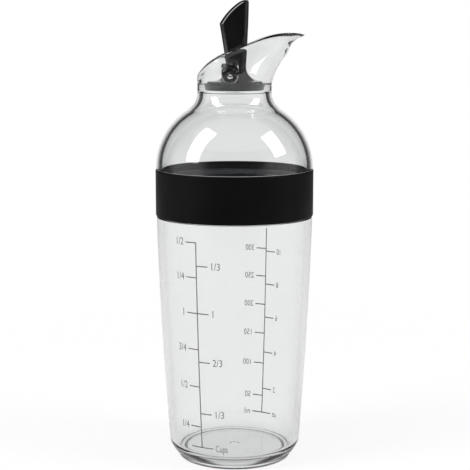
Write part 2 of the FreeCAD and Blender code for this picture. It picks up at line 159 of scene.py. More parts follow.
class Shader(Nodes):
    """Node tree of one material."""

    def __init__(self, name: str) -> None:
        """Start an empty material with an output.

        Args:
            name: Name of the material.
        """
        self.material = bpy.data.materials.new(name)
        self.material.use_nodes = True
        super().__init__(self.material.node_tree)
        self.output = self.add("OutputMaterial")

    def noise(self, scale: float, detail: float, stretch: Sequence[float] = (1, 1, 1)) -> Socket:
        """Noise over the piece's own coordinates.

        Args:
            scale: Cells for each metre.
            detail: Octaves of the noise.
            stretch: Scale along each axis, to draw the noise out.

        Returns:
            The noise's value socket.
        """
        place = self.add("TexCoord").outputs["Object"]
        drawn = self.add("Mapping", {"Vector": place, "Scale": tuple(stretch)}).outputs["Vector"]
        noise = self.add("TexNoise", {"Vector": drawn, "Scale": scale, "Detail": detail})
        return noise.outputs["Fac"]

    def tone(self, value: Socket, dark: Colour, light: Colour) -> Socket:
        """Colour between two tones.

        Args:
            value: Share of the light tone.
            dark: Colour at 0.
            light: Colour at 1.

        Returns:
            The mixed colour socket.
        """
        mixed = self.add("Mix", {
            0: value, MIX_FIRST_COLOUR: (*dark, 1), MIX_SECOND_COLOUR: (*light, 1),
        }, data_type="RGBA")
        return mixed.outputs[MIX_COLOUR_RESULT]

    def bump(self, height: Socket, depth: float, strength: float) -> Socket:
        """Bumped normal.

        Args:
            height: Height between 0 and 1.
            depth: Depth of the relief in metres.
            strength: Share of the relief that shows.

        Returns:
            The normal socket.
        """
        node = self.add("Bump", {"Height": height, "Distance": depth, "Strength": strength})
        return node.outputs["Normal"]

    def surface(self, inputs: dict[str, object]) -> Material:
        """Finish the material with one principled surface.

        Args:
            inputs: Values and sockets of the surface.

        Returns:
            The finished material.
        """
        node = self.add("BsdfPrincipled", inputs)
        self.tree.links.new(node.outputs["BSDF"], self.output.inputs["Surface"])
        return self.material


# Finishes


@dataclass(frozen=True)
class ClearPlastic:
    """Polished clear moulding with faint flow marks and a trace of grey in its thickness."""

    name: str = "clear_plastic"
    tint: Colour = (0.91, 0.916, 0.914)
    depth_tint: Colour = (0.80, 0.82, 0.82)
    density: float = 10.0
    ior: float = 1.5
    roughness: Point = (0.0, 0.02)
    polish: Noise = (60, 3)
    flow: Noise = (40, 1)
    flow_stretch: Sequence[float] = (1, 1, 0.25)
    flow_depth: float = 0.04 * MM
    flow_strength: float = 0.02

    def material(self) -> Material:
        """Make the finish's material.

        Returns:
            The material.
        """
        shader = Shader(self.name)
        polish = shader.spread(shader.noise(*self.polish), *self.roughness)
        flow = shader.noise(*self.flow, self.flow_stretch)
        volume = shader.add("VolumeAbsorption", {
            "Color": (*self.depth_tint, 1), "Density": self.density,
        })
        shader.tree.links.new(volume.outputs["Volume"], shader.output.inputs["Volume"])
        return shader.surface({
            "Base Color": (*self.tint, 1), "Transmission Weight": 1.0, "IOR": self.ior,
            "Roughness": polish, "Normal": shader.bump(flow, self.flow_depth, self.flow_strength),
        })


@dataclass(frozen=True)
class Opaque:
    """Opaque finish whose tone and gloss follow one cloudy noise, over a fine relief."""

    name: str
    dark: Colour
    light: Colour
    roughness: Point
    cloud: Noise
    relief: Noise
    relief_depth: float
    relief_strength: float
    cloud_stretch: Sequence[float] = (1, 1, 1)
    # Further inputs of the surface, by name
    extras: Sequence[tuple[str, float]] = ()

    def height(self, shader: Shader) -> Socket:
        """Height of the relief, between 0 and 1."""
        return shader.noise(*self.relief)

    def material(self) -> Material:
        """Make the finish's material.

        Returns:
            The material.
        """
        shader = Shader(self.name)
        cloud = shader.noise(*self.cloud, self.cloud_stretch)
        return shader.surface({
            "Base Color": shader.tone(shader.spread(cloud, 0, 1), self.dark, self.light),
            "Roughness": shader.spread(cloud, *self.roughness),
            "Normal": shader.bump(self.height(shader), self.relief_depth, self.relief_strength),
            **dict(self.extras),
        })


@dataclass(frozen=True)
class SatinBlack(Opaque):
    """Soft black moulding with a fine grain that edges and handling have polished a little."""

    name: str = "satin_black"
    dark: Colour = (0.0018, 0.0018, 0.0019)
    light: Colour = (0.0036, 0.0036, 0.0037)
    roughness: Point = (0.52, 0.42)
    cloud: Noise = (55, 4)
    relief: Noise = (3800, 2)
    relief_depth: float = 0.05 * MM
    relief_strength: float = 0.35
    extras: Sequence[tuple[str, float]] = (("Specular IOR Level", 0.05),)


@dataclass(frozen=True)
class GlossBlack(Opaque):
    """Glossy black moulding with thumb smears that dull it in patches."""

    name: str = "gloss_black"
    dark: Colour = (0.0018, 0.0018, 0.0019)
    light: Colour = (0.0036, 0.0036, 0.0037)
    roughness: Point = (0.06, 0.16)
    cloud: Noise = (130, 4)
    relief: Noise = (220, 2)
    relief_depth: float = 0.06 * MM
    relief_strength: float = 0.15
    cloud_stretch: Sequence[float] = (1, 1, 0.4)
    extras: Sequence[tuple[str, float]] = (("Specular IOR Level", 0.5),)


@dataclass(frozen=True)
class GreySilicone(Opaque):
    """Soft grey rubber with a dusty bloom."""

    name: str = "grey_silicone"
    dark: Colour = (0.042, 0.047, 0.055)
    light: Colour = (0.066, 0.074, 0.085)
    roughness: Point = (0.38, 0.55)
    cloud: Noise = (420, 4)
    relief: Noise = (2600, 2)
    relief_depth: float = 0.04 * MM
    relief_strength: float = 0.3
    extras: Sequence[tuple[str, float]] = (("Sheen Weight", 0.15),)


@dataclass(frozen=True)
class BrightSteel(Opaque):
    """Turned and polished steel with faint tool rings on its ends."""

    name: str = "bright_steel"
    dark: Colour = (0.55, 0.55, 0.56)
    light: Colour = (0.78, 0.78, 0.79)
    roughness: Point = (0.08, 0.18)
    cloud: Noise = (900, 3)
    # Scale and waver of the tool rings
    relief: Noise = (1500.0, 0.4)
    relief_depth: float = 0.03 * MM
    relief_strength: float = 0.35
    extras: Sequence[tuple[str, float]] = (("Metallic", 1.0),)

    def height(self, shader: Shader) -> Socket:
        """Height of the tool rings, between 0 and 1.

        Args:
            shader: Nodes of the material.

        Returns:
            The height's socket.
        """
        place = shader.add("TexCoord").outputs["Object"]
        scale, waver = self.relief
        rings = shader.add("TexWave", {"Vector": place, "Scale": scale, "Distortion": waver},
                           wave_type="RINGS", rings_direction="Z")
        return rings.outputs["Fac"]


@dataclass(frozen=True)
class ScaleInk(Opaque):
    """Thin grey pad print, a little broken up where it covers unevenly."""

    name: str = "scale_ink"
    dark: Colour = (0.10, 0.10, 0.10)
    light: Colour = (0.17, 0.17, 0.17)
    roughness: Point = (0.45, 0.65)
    cloud: Noise = (900, 4)
    relief: Noise = (4000, 2)
    relief_depth: float = 0.03 * MM
    relief_strength: float = 0.3


# Meshes of turned pieces

# Share of the shorter neighbour that a rounding may take up
ROUNDING_ROOM = 0.48
# Flat strip beside each rounding, which keeps its shading crisp
ROUNDING_MARGIN = 0.15 * MM
ROUNDING_STEPS = 6
# Ring that counts as a single point
POLE_SIZE = 1e-9
# Difference that counts as none between two lengths
TOUCH = 0.01 * MM
# Spacing that leaves every run of a section whole
UNDIVIDED = 1.0


@dataclass(frozen=True)
class Corner:
    """Corner of a half section, with the rounding that the mould leaves on it."""

    r: float
    z: float
    rounding: float = 0.0


def bowed(start: Point, end: Point, bow: float, count: int) -> list[Corner]:
    """Points along a run that stands off its chord.

    Args:
        start: First point, which isn't repeated in the result.
        end: Last point.
        bow: Most that the run stands off its chord, to the right of its way.
        count: Number of points.

    Returns:
        The points after the start.
    """
    run, rise = end[0] - start[0], end[1] - start[1]
    length = math.hypot(run, rise)
    corners = []
    for step in range(1, count + 1):
        share = step / count
        stand = 4 * bow * share * (1 - share)
        corners.append(Corner(start[0] + run * share + stand * rise / length,
                              start[1] + rise * share - stand * run / length))
    return corners


def swept(middle: Point, radius: float, first: float, last: float, count: int) -> list[Corner]:
    """Points along a circular arc.

    Args:
        middle: Centre of the arc.
        radius: Radius of the arc.
        first: Angle of the first point in radians, from the direction of growing radius.
        last: Angle of the last point.
        count: Number of steps.

    Returns:
        The points, with both ends.
    """
    angles = np.linspace(first, last, count + 1)
    return [Corner(middle[0] + radius * math.cos(angle), middle[1] + radius * math.sin(angle))
            for angle in angles]


def half_section(corners: Sequence[Corner], closed: bool, spacing: float = 3 * MM) -> list[Point]:
    """Round the corners of a half section and divide its long runs.

    Args:
        corners: Corners in order, up the outside and down the inside.
        closed: Whether the last corner joins the first.
        spacing: Longest step between points.

    Returns:
        The points of the finished section.
    """
    places = [np.array((corner.r, corner.z)) for corner in corners]
    points: list[np.ndarray] = []
    for index, corner in enumerate(corners):
        here = places[index]
        open_end = not closed and index in (0, len(corners) - 1)
        if corner.rounding <= 0 or open_end:
            points.append(here)
            continue
        back = places[index - 1] - here
        onward = places[(index + 1) % len(places)] - here
        shorter = min(np.linalg.norm(back), np.linalg.norm(onward))
        room = ROUNDING_ROOM * shorter
        back, onward = back / np.linalg.norm(back), onward / np.linalg.norm(onward)
        half_turn = math.acos(float(np.clip(back @ onward, -1, 1))) / 2
        reach = min(corner.rounding / math.tan(half_turn), room)
        radius = reach * math.tan(half_turn)
        inward = (back + onward) / np.linalg.norm(back + onward)
        middle = here + inward * (radius / math.sin(half_turn))
        first, last = here + back * reach - middle, here + onward * reach - middle
        start = math.atan2(first[1], first[0])
        sweep = math.remainder(math.atan2(last[1], last[0]) - start, 2 * math.pi)
        support = min(reach + ROUNDING_MARGIN, shorter / 2)
        points.append(here + back * support)
        for share in np.linspace(0, 1, ROUNDING_STEPS + 1):
            angle = start + sweep * share
            points.append(middle + radius * np.array((math.cos(angle), math.sin(angle))))
        points.append(here + onward * support)
    divided: list[Point] = []
    pairs = zip(points, points[1:] + points[:1]) if closed else zip(points, points[1:])
    for here, there in pairs:
        steps = max(1, math.ceil(float(np.linalg.norm(there - here)) / spacing))
        divided.extend(tuple(here + (there - here) * step / steps) for step in range(steps))
    if not closed:
        divided.append(tuple(points[-1]))
    return divided


def even_angles(count: int) -> np.ndarray:
    """Angles that divide a turn evenly."""
    return np.linspace(0, 2 * math.pi, count, endpoint=False)


def turned_rings(section: Sequence[Point], angles: np.ndarray,
                 swell: Swell | None = None) -> np.ndarray:
    """Rings of a turned surface.

    Args:
        section: Points of radius and height.
        angles: Angles of the points round each ring.
        swell: Extra radius at the ring's angles, for a radius and a height.

    Returns:
        Positions by ring, point and axis.
    """
    rings = np.empty((len(section), len(angles), 3))
    for index, (radius, height) in enumerate(section):
        reach = radius + (swell(angles, radius, height) if swell else 0.0)
        rings[index, :, 0] = reach * np.cos(angles)
        rings[index, :, 1] = reach * np.sin(angles)
        rings[index, :, 2] = height
    return rings


def shell(name: str, rings: np.ndarray, closed: bool) -> Piece:
    """Piece through rings of points, with a single point where a ring has shrunk to one.

    Args:
        name: Name of the piece.
        rings: Positions by ring, point and axis.
        closed: Whether the last ring joins the first.

    Returns:
        The new piece.
    """
    segments = rings.shape[1]
    points: list[tuple[float, ...]] = []
    numbers: list[list[int]] = []
    for ring in rings:
        pole = float(np.ptp(ring, axis=0).max()) < POLE_SIZE
        first = len(points)
        points.extend(map(tuple, ring[:1] if pole else ring))
        numbers.append([first] * segments if pole else list(range(first, first + segments)))
    faces = []
    for lower, upper in zip(numbers, numbers[1:] + (numbers[:1] if closed else [])):
        for here in range(segments):
            there = (here + 1) % segments
            corners = (lower[here], lower[there], upper[there], upper[here])
            faces.append(tuple(dict.fromkeys(corners)))
    return new_piece(name, points, faces)


def new_piece(name: str, points: Sequence[Sequence[float]],
              faces: Sequence[Sequence[int]]) -> Piece:
    """Smooth-shaded mesh piece.

    Args:
        name: Name of the piece.
        points: Positions of its vertices.
        faces: Vertex numbers of its faces.

    Returns:
        The new piece.
    """
    mesh = bpy.data.meshes.new(name)
    mesh.from_pydata(points, [], faces)
    mesh.shade_smooth()
    piece = bpy.data.objects.new(name, mesh)
    bpy.context.scene.collection.objects.link(piece)
    return piece


def dress(piece: Piece, finish: Material) -> None:
    """Give a piece one material."""
    piece.data.materials.clear()
    piece.data.materials.append(finish)


def settle(piece: Piece, body: Body, slot: Slot | None, *nodes: str) -> None:
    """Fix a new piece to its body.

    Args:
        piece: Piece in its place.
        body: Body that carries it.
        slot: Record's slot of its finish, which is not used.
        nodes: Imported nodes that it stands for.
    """
    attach(piece, body.value)
    if nodes:
        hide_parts(*nodes)
    LOG.info("%s rides on %s", piece.name, body.value)


# Curves and surfaces wrapped round a distance

# Step of the differences that give a distance's slope
SLOPE_STEP = 0.02 * MM
# Times that the points of a wrapped surface are drawn on to it
DRAW_PASSES = 3
# Least slope squared that a point is drawn along
LEAST_SLOPE = 0.05


def smooth_through(places: Sequence[float], heights: Sequence[float], at: np.ndarray) -> np.ndarray:
    """Natural cubic spline through points.

    Args:
        places: Growing places of the points.
        heights: Heights of the points.
        at: Places to read.

    Returns:
        Heights at those places.
    """
    x, y = np.array(places, float), np.array(heights, float)
    gap, slope = np.diff(x), np.diff(y) / np.diff(x)
    count = len(x)
    system, given = np.eye(count), np.zeros(count)
    for i in range(1, count - 1):
        system[i, i - 1:i + 2] = gap[i - 1], 2 * (gap[i - 1] + gap[i]), gap[i]
        given[i] = 6 * (slope[i] - slope[i - 1])
    bend = np.linalg.solve(system, given)
    i = np.clip(np.searchsorted(x, at) - 1, 0, count - 2)
    left, right = at - x[i], x[i + 1] - at
    cubic = (bend[i] * right ** 3 + bend[i + 1] * left ** 3) / (6 * gap[i])
    start = (y[i] / gap[i] - bend[i] * gap[i] / 6) * right
    end = (y[i + 1] / gap[i] - bend[i + 1] * gap[i] / 6) * left
    return cubic + start + end


def outline_distance(outline: Sequence[Point], u: np.ndarray, v: np.ndarray) -> np.ndarray:
    """Signed distance from a closed outline, negative inside.

    Args:
        outline: Points of the outline.
        u: First coordinates of the places.
        v: Second coordinates of the places.

    Returns:
        Distance at each place.
    """
    nearest = np.full(np.broadcast(u, v).shape, np.inf)
    inside = np.zeros(nearest.shape, bool)
    for (start_u, start_v), (end_u, end_v) in zip(outline, [*outline[1:], outline[0]]):
        run, rise = end_u - start_u, end_v - start_v
        off_u, off_v = u - start_u, v - start_v
        share = np.clip((off_u * run + off_v * rise) / (run * run + rise * rise), 0, 1)
        nearest = np.minimum(nearest, (off_u - share * run) ** 2 + (off_v - share * rise) ** 2)
        crossed = (start_v > v) != (end_v > v)
        across, along = off_u * rise, off_v * run
        inside ^= crossed & ((across < along) if rise > 0 else (across > along))
    return np.where(inside, -1, 1) * np.sqrt(nearest)


def rounded_overlap(first: np.ndarray, second: np.ndarray, radius: float) -> np.ndarray:
    """Distance from what two shapes share, with its edges rounded.

    Args:
        first: Distance from one shape.
        second: Distance from the other.
        radius: Radius of the edges.

    Returns:
        Distance at each place.
    """
    first, second = first + radius, second + radius
    outside = np.hypot(np.maximum(first, 0), np.maximum(second, 0))
    return outside + np.minimum(np.maximum(first, second), 0) - radius


def filleted_union(first: np.ndarray, second: np.ndarray, radius: float) -> np.ndarray:
    """Distance from two shapes together, with a fillet where they meet."""
    overlap = np.maximum(radius - np.abs(first - second), 0) / radius
    return np.minimum(first, second) - overlap ** 2 * radius / 4


def wrapped_surface(name: str, distance: Distance, low: Sequence[float],
                    high: Sequence[float], step: float) -> Piece:
    """Piece wrapped round the places where a distance is nought, with a point in each crossed cell.

    Args:
        name: Name of the piece.
        distance: Signed distance at arrays of x, y and z.
        low: Lowest corner of the space to search.
        high: Highest corner.
        step: Size of a cell.

    Returns:
        The new piece.
    """
    axes = [np.arange(a, b, step) for a, b in zip(low, high)]
    field_values = distance(*np.meshgrid(*axes, indexing="ij", sparse=True))
    counts = [len(axis) - 1 for axis in axes]
    total, hits = np.zeros((*counts, 3)), np.zeros(counts)
    corners = [(i, j, k) for i in (0, 1) for j in (0, 1) for k in (0, 1)]

    def corner_values(corner: Sequence[int]) -> np.ndarray:
        """Distances at one corner of every cell."""
        return field_values[tuple(slice(c, c + n) for c, n in zip(corner, counts))]

    for start in corners:
        for axis in range(3):
            if start[axis]:
                continue
            end = tuple(1 if index == axis else c for index, c in enumerate(start))
            here, there = corner_values(start), corner_values(end)
            crossed = (here < 0) != (there < 0)
            gap = np.where(crossed, here - there, 1)
            place = np.zeros((*counts, 3)) + np.array(start)
            place[..., axis] = here / gap
            total += place * crossed[..., None]
            hits += crossed
    cells = np.argwhere(hits > 0)
    numbers = np.full(counts, -1)
    numbers[tuple(cells.T)] = np.arange(len(cells))
    points = np.array(low) + step * (cells + total[tuple(cells.T)] / hits[tuple(cells.T)][:, None])
    faces = []
    for axis in range(3):
        inner = [slice(1, n) for n in counts]
        inner[axis] = slice(0, counts[axis])
        ahead = [slice(1, n) for n in counts]
        ahead[axis] = slice(1, counts[axis] + 1)
        here, there = field_values[tuple(inner)] < 0, field_values[tuple(ahead)] < 0
        first, second = [other for other in range(3) if other != axis]
        for sign in (True, False):
            offset = [0 if index == axis else 1 for index in range(3)]
            at = np.argwhere((here != there) & (here == sign)) + offset
            ring = []
            for back_first, back_second in ((1, 1), (0, 1), (0, 0), (1, 0)):
                cell = at.copy()
                cell[:, first] -= back_first
                cell[:, second] -= back_second
                ring.append(numbers[tuple(cell.T)])
            turned = sign == (axis != 1)
            faces.append(np.stack(ring if turned else ring[::-1], axis=1))
    for _ in range(DRAW_PASSES):
        slope = surface_slope(distance, points)
        off = distance(*points.T) / np.maximum((slope ** 2).sum(1), LEAST_SLOPE)
        points = points - slope * off[:, None]
    piece = new_piece(name, points.tolist(), np.concatenate(faces).tolist())
    normals = surface_slope(distance, points)
    normals = normals / np.linalg.norm(normals, axis=1)[:, None]
    piece.data.normals_split_custom_set_from_vertices(normals)
    return piece


def surface_slope(distance: Distance, points: np.ndarray) -> np.ndarray:
    """Slope of a distance at points.

    Args:
        distance: Signed distance at arrays of x, y and z.
        points: Positions.

    Returns:
        Slope along each axis at each point.
    """
    slopes = []
    for shift in np.eye(3) * SLOPE_STEP:
        climb = distance(*(points + shift).T) - distance(*(points - shift).T)
        slopes.append(climb / (2 * SLOPE_STEP))
    return np.stack(slopes, axis=1)


# Sub-assemblies


@dataclass
class Cup:
    """Clear tapered cup with a stepped foot and a threaded neck."""

    foot_radius: float = 27.8 * MM
    foot_height: float = 2.0 * MM
    foot_step: float = 0.8 * MM
    ring_width: float = 3.3 * MM
    recess_depth: float = 2.0 * MM
    recess_edge: float = 1.6 * MM
    ring_inner_edge: float = 1.3 * MM
    ring_edge: float = 0.6 * MM
    step_root: float = 0.25 * MM
    step_edge: float = 0.3 * MM
    gate_radius: float = 2.4 * MM
    gate_slope: float = 0.5 * MM
    gate_depth: float = 0.4 * MM
    gate_edge: float = 0.3 * MM
    heel_radius: float = 32.2 * MM
    heel_height: float = 7.6 * MM
    heel_bow: float = 0.35 * MM
    top_radius: float = 38.05 * MM
    shoulder_height: float = 120.4 * MM
    edge_radius: float = 0.5 * MM
    wall_bow: float = 0.75 * MM
    wall: float = 2.9 * MM
    floor_height: float = 5.9 * MM
    floor_corner: float = 3.5 * MM
    bore_radius: float = 34.5 * MM
    neck_root: float = 36.1 * MM
    neck_root_edge: float = 0.4 * MM
    neck_margin: float = 0.8 * MM
    rim_height: float = 137.2 * MM
    rim_edge: float = 0.5 * MM
    thread_pitch: float = 6.0 * MM
    thread_turns: float = 1.25
    thread_depth: float = 0.8 * MM
    thread_root: float = 2.6 * MM
    thread_crest: float = 1.2 * MM
    thread_rise: float = 4.2 * MM
    # Angle over which the thread runs in and out, in radians
    thread_fade: float = 0.35
    thread_clear: float = 0.5 * MM
    thread_row: float = 0.3 * MM
    wall_rows: int = 40
    heel_rows: int = 12
    corner_rows: int = 10
    segments: int = 344

    def wall_points(self) -> list[Corner]:
        """Outside of the wall, from the heel up to the shoulder.

        Returns:
            Points of the half section.
        """
        heel = Corner(self.heel_radius, self.heel_height)
        top = (self.top_radius, self.shoulder_height - self.edge_radius)
        return [heel] + bowed((heel.r, heel.z), top, self.wall_bow, self.wall_rows)

    def wall_radius(self, height: float) -> float:
        """Outside radius of the wall at a height."""
        points = self.wall_points()
        return float(np.interp(height, [p.z for p in points], [p.r for p in points]))

    def ridge(self, angles: np.ndarray, radius: float, height: float) -> np.ndarray:
        """Height of the thread's ridge on the outside of the neck.

        Args:
            angles: Angles round the neck.
            radius: Radius of the bare section.
            height: Height of the ring.

        Returns:
            Extra radius at each angle.
        """
        lift = np.zeros_like(angles)
        lowest = self.shoulder_height + self.thread_clear
        if radius <= self.neck_root - TOUCH or height <= lowest:
            return lift
        start = self.shoulder_height + self.thread_rise
        flank = (self.thread_root - self.thread_crest) / 2
        end = 2 * math.pi * self.thread_turns
        for turn in range(math.ceil(self.thread_turns)):
            travel = angles + 2 * math.pi * turn
            middle = start + self.thread_pitch * travel / (2 * math.pi)
            crown = np.clip((self.thread_root / 2 - np.abs(height - middle)) / flank, 0, 1)
            run_in = np.clip(travel / self.thread_fade, 0, 1)
            run_out = np.clip((end - travel) / self.thread_fade, 0, 1)
            lift = np.maximum(lift, self.thread_depth * crown * (run_in * run_out))
        return lift

    def section(self) -> list[Point]:
        """Half section from the middle of the underside, round the rim, to the middle of the floor.

        Returns:
            Points of radius and height.
        """
        recess = self.foot_radius - self.ring_width
        gate_top = self.recess_depth + self.gate_depth
        floor_wall = self.heel_radius - self.wall
        corner_top = self.floor_height + self.floor_corner
        neck_foot = self.shoulder_height + self.neck_margin
        neck_top = self.rim_height - self.neck_margin
        step = (self.foot_radius + self.foot_step, self.foot_height)
        heel = (self.heel_radius, self.heel_height)
        bore_foot = (self.bore_radius, self.shoulder_height)
        floor_bend = (floor_wall - self.floor_corner, corner_top)
        corners = [
            Corner(0, gate_top),
            Corner(self.gate_radius - self.gate_slope, gate_top, self.gate_edge),
            Corner(self.gate_radius, self.recess_depth, self.gate_edge),
            Corner(recess, self.recess_depth, self.recess_edge),
            Corner(recess, 0, self.ring_inner_edge),
            Corner(self.foot_radius, 0, self.ring_edge),
            Corner(self.foot_radius, self.foot_height, self.step_root),
            Corner(*step, self.step_edge),
            *bowed(step, heel, self.heel_bow, self.heel_rows)[:-1],
            *self.wall_points(),
            Corner(self.top_radius, self.shoulder_height, self.edge_radius),
            Corner(self.neck_root, self.shoulder_height, self.neck_root_edge),
            *(Corner(self.neck_root, z) for z in np.arange(neck_foot, neck_top, self.thread_row)),
            Corner(self.neck_root, self.rim_height, self.rim_edge),
            Corner(self.bore_radius, self.rim_height, self.rim_edge),
            Corner(*bore_foot),
            *bowed(bore_foot, (floor_wall, corner_top), -self.wall_bow, self.wall_rows),
            *swept(floor_bend, self.floor_corner, 0, -math.pi / 2, self.corner_rows)[1:],
            Corner(0, self.floor_height),
        ]
        return half_section(corners, closed=False)

    def build(self) -> Piece:
        """Make the cup's mesh."""
        rings = turned_rings(self.section(), even_angles(self.segments), self.ridge)
        return shell("cup_shell", rings, closed=False)

    def make(self, clear: Material) -> None:
        """Build the cup, dress it and fix it to its body.

        Args:
            clear: Material of the clear moulding.
        """
        piece = self.build()
        dress(piece, clear)
        settle(piece, Body.CUP, Slot.CLEAR, "cup")


@dataclass(frozen=True)
class Mark:
    """Tick of a measuring scale, with its label."""

    height: float
    side: Side
    label: str
    # Width of the label as a share of the font's own
    squeeze: float = 0.8


@dataclass
class MeasuringScale:
    """Printed scale on the outside of the cup: one upright line with ticks and labels."""

    name: str
    cup: Cup
    # Degrees round the cup from the side that faces the camera
    azimuth: float
    top: float
    bottom: float
    marks: Sequence[Mark]
    tick_length: float = 5.8 * MM
    line_width: float = 0.55 * MM
    text_height: float = 3.5 * MM
    text_gap: float = 1.2 * MM
    lift: float = 0.05 * MM
    film: float = 0.05 * MM
    # Height of a capital as a share of the font's size
    capital_share: float = 0.7
    curve_steps: int = 4
    line_steps: int = 40
    tick_steps: int = 8

    def on_wall(self, along: float, height: float, proud: float) -> tuple[float, float, float]:
        """Place on the cup's wall.

        Args:
            along: Distance round the wall from the scale's line, to the right as it is read.
            height: Height above the foot.
            proud: Distance off the wall.

        Returns:
            The position.
        """
        radius = self.cup.wall_radius(height)
        angle = math.radians(self.azimuth) + along / radius
        reach = radius + proud
        return reach * math.sin(angle), -reach * math.cos(angle), height

    def bar(self, start: Point, end: Point, steps: int) -> Piece:
        """Flat printed bar that follows the wall.

        Args:
            start: Lower left corner, along the wall and up.
            end: Upper right corner.
            steps: Divisions along the longer side.

        Returns:
            The bar.
        """
        upright = end[1] - start[1] > end[0] - start[0]
        points, faces = [], []
        for step in range(steps + 1):
            share = step / steps
            for across in (0, 1):
                a, b = (across, share) if upright else (share, across)
                along = start[0] + (end[0] - start[0]) * a
                height = start[1] + (end[1] - start[1]) * b
                faces_off = (self.lift, self.lift + self.film)
                points.extend(self.on_wall(along, height, proud) for proud in faces_off)
        for step in range(steps):
            low = 4 * step
            high = low + 4
            faces += [(low + 1, low + 3, high + 3, high + 1), (low, high, high + 2, low + 2),
                      (low, low + 1, high + 1, high), (low + 2, high + 2, high + 3, low + 3)]
        faces += [(0, 2, 3, 1), (4 * steps, 4 * steps + 1, 4 * steps + 3, 4 * steps + 2)]
        if not upright:
            faces = [face[::-1] for face in faces]
        return new_piece("print_bar", points, faces)

    def text(self, mark: Mark) -> Piece:
        """Label bent round the wall beside its tick.

        Args:
            mark: Tick that the label belongs to.

        Returns:
            The label as a mesh.
        """
        curve = bpy.data.curves.new("print_text", "FONT")
        curve.body = mark.label
        curve.size = self.text_height / self.capital_share
        curve.align_x = "LEFT" if mark.side is Side.RIGHT else "RIGHT"
        curve.align_y = "CENTER"
        curve.extrude = self.film / 2
        curve.resolution_u = self.curve_steps
        holder = bpy.data.objects.new("print_text", curve)
        mesh = bpy.data.meshes.new_from_object(holder)
        bpy.data.objects.remove(holder)
        start = mark.side.value * (self.tick_length + self.text_gap)
        for vertex in mesh.vertices:
            x, y, z = vertex.co
            proud = self.lift + self.film / 2 + z
            vertex.co = self.on_wall(start + x * mark.squeeze, mark.height + y, proud)
        piece = bpy.data.objects.new("print_label", mesh)
        bpy.context.scene.collection.objects.link(piece)
        return piece

    def build(self) -> Piece:
        """Make the line, the ticks and the labels, and join them into one piece.

        Returns:
            The joined piece.
        """
        half = self.line_width / 2
        parts = [self.bar((-half, self.bottom - half), (half, self.top + half), self.line_steps)]
        for mark in self.marks:
            ends = sorted((mark.side.value * half, mark.side.value * self.tick_length))
            low, high = (ends[0], mark.height - half), (ends[1], mark.height + half)
            parts.append(self.bar(low, high, self.tick_steps))
            if mark.label:
                parts.append(self.text(mark))
        with bpy.context.temp_override(active_object=parts[0], selected_editable_objects=parts):
            bpy.ops.object.join()
        parts[0].name = self.name
        return parts[0]

    def make(self, ink: Material) -> None:
        """Build the scale, dress it and fix it to the cup.

        Args:
            ink: Material of the print.
        """
        piece = self.build()
        dress(piece, ink)
        settle(piece, Body.CUP, None)


@dataclass
class GripCollar:
    """Black screw band and the gasket that it presses on the cup's rim."""

    gasket_bore: float = 34.5 * MM
    gasket_radius: float = 36.85 * MM
    gasket_foot: float = 137.3 * MM
    gasket_top: float = 139.4 * MM
    gasket_edge: float = 0.45 * MM
    segments: int = 192

    def build_gasket(self) -> Piece:
        """Make the gasket's ring.

        Returns:
            The gasket.
        """
        corners = [Corner(r, z, self.gasket_edge) for r, z in (
            (self.gasket_bore, self.gasket_foot), (self.gasket_radius, self.gasket_foot),
            (self.gasket_radius, self.gasket_top), (self.gasket_bore, self.gasket_top))]
        rings = turned_rings(half_section(corners, closed=True), even_angles(self.segments))
        return shell("gasket_ring", rings, closed=True)

    def make(self, satin: Material, silicone: Material) -> None:
        """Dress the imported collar, and build the gasket and fix it to its body.

        Args:
            satin: Material of the collar.
            silicone: Material of the gasket.
        """
        dress(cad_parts["grip_collar"], satin)
        LOG.info("grip_collar keeps its packed shape")
        gasket = self.build_gasket()
        dress(gasket, silicone)
        settle(gasket, Body.GASKET, Slot.SILICONE, "rim_gasket")


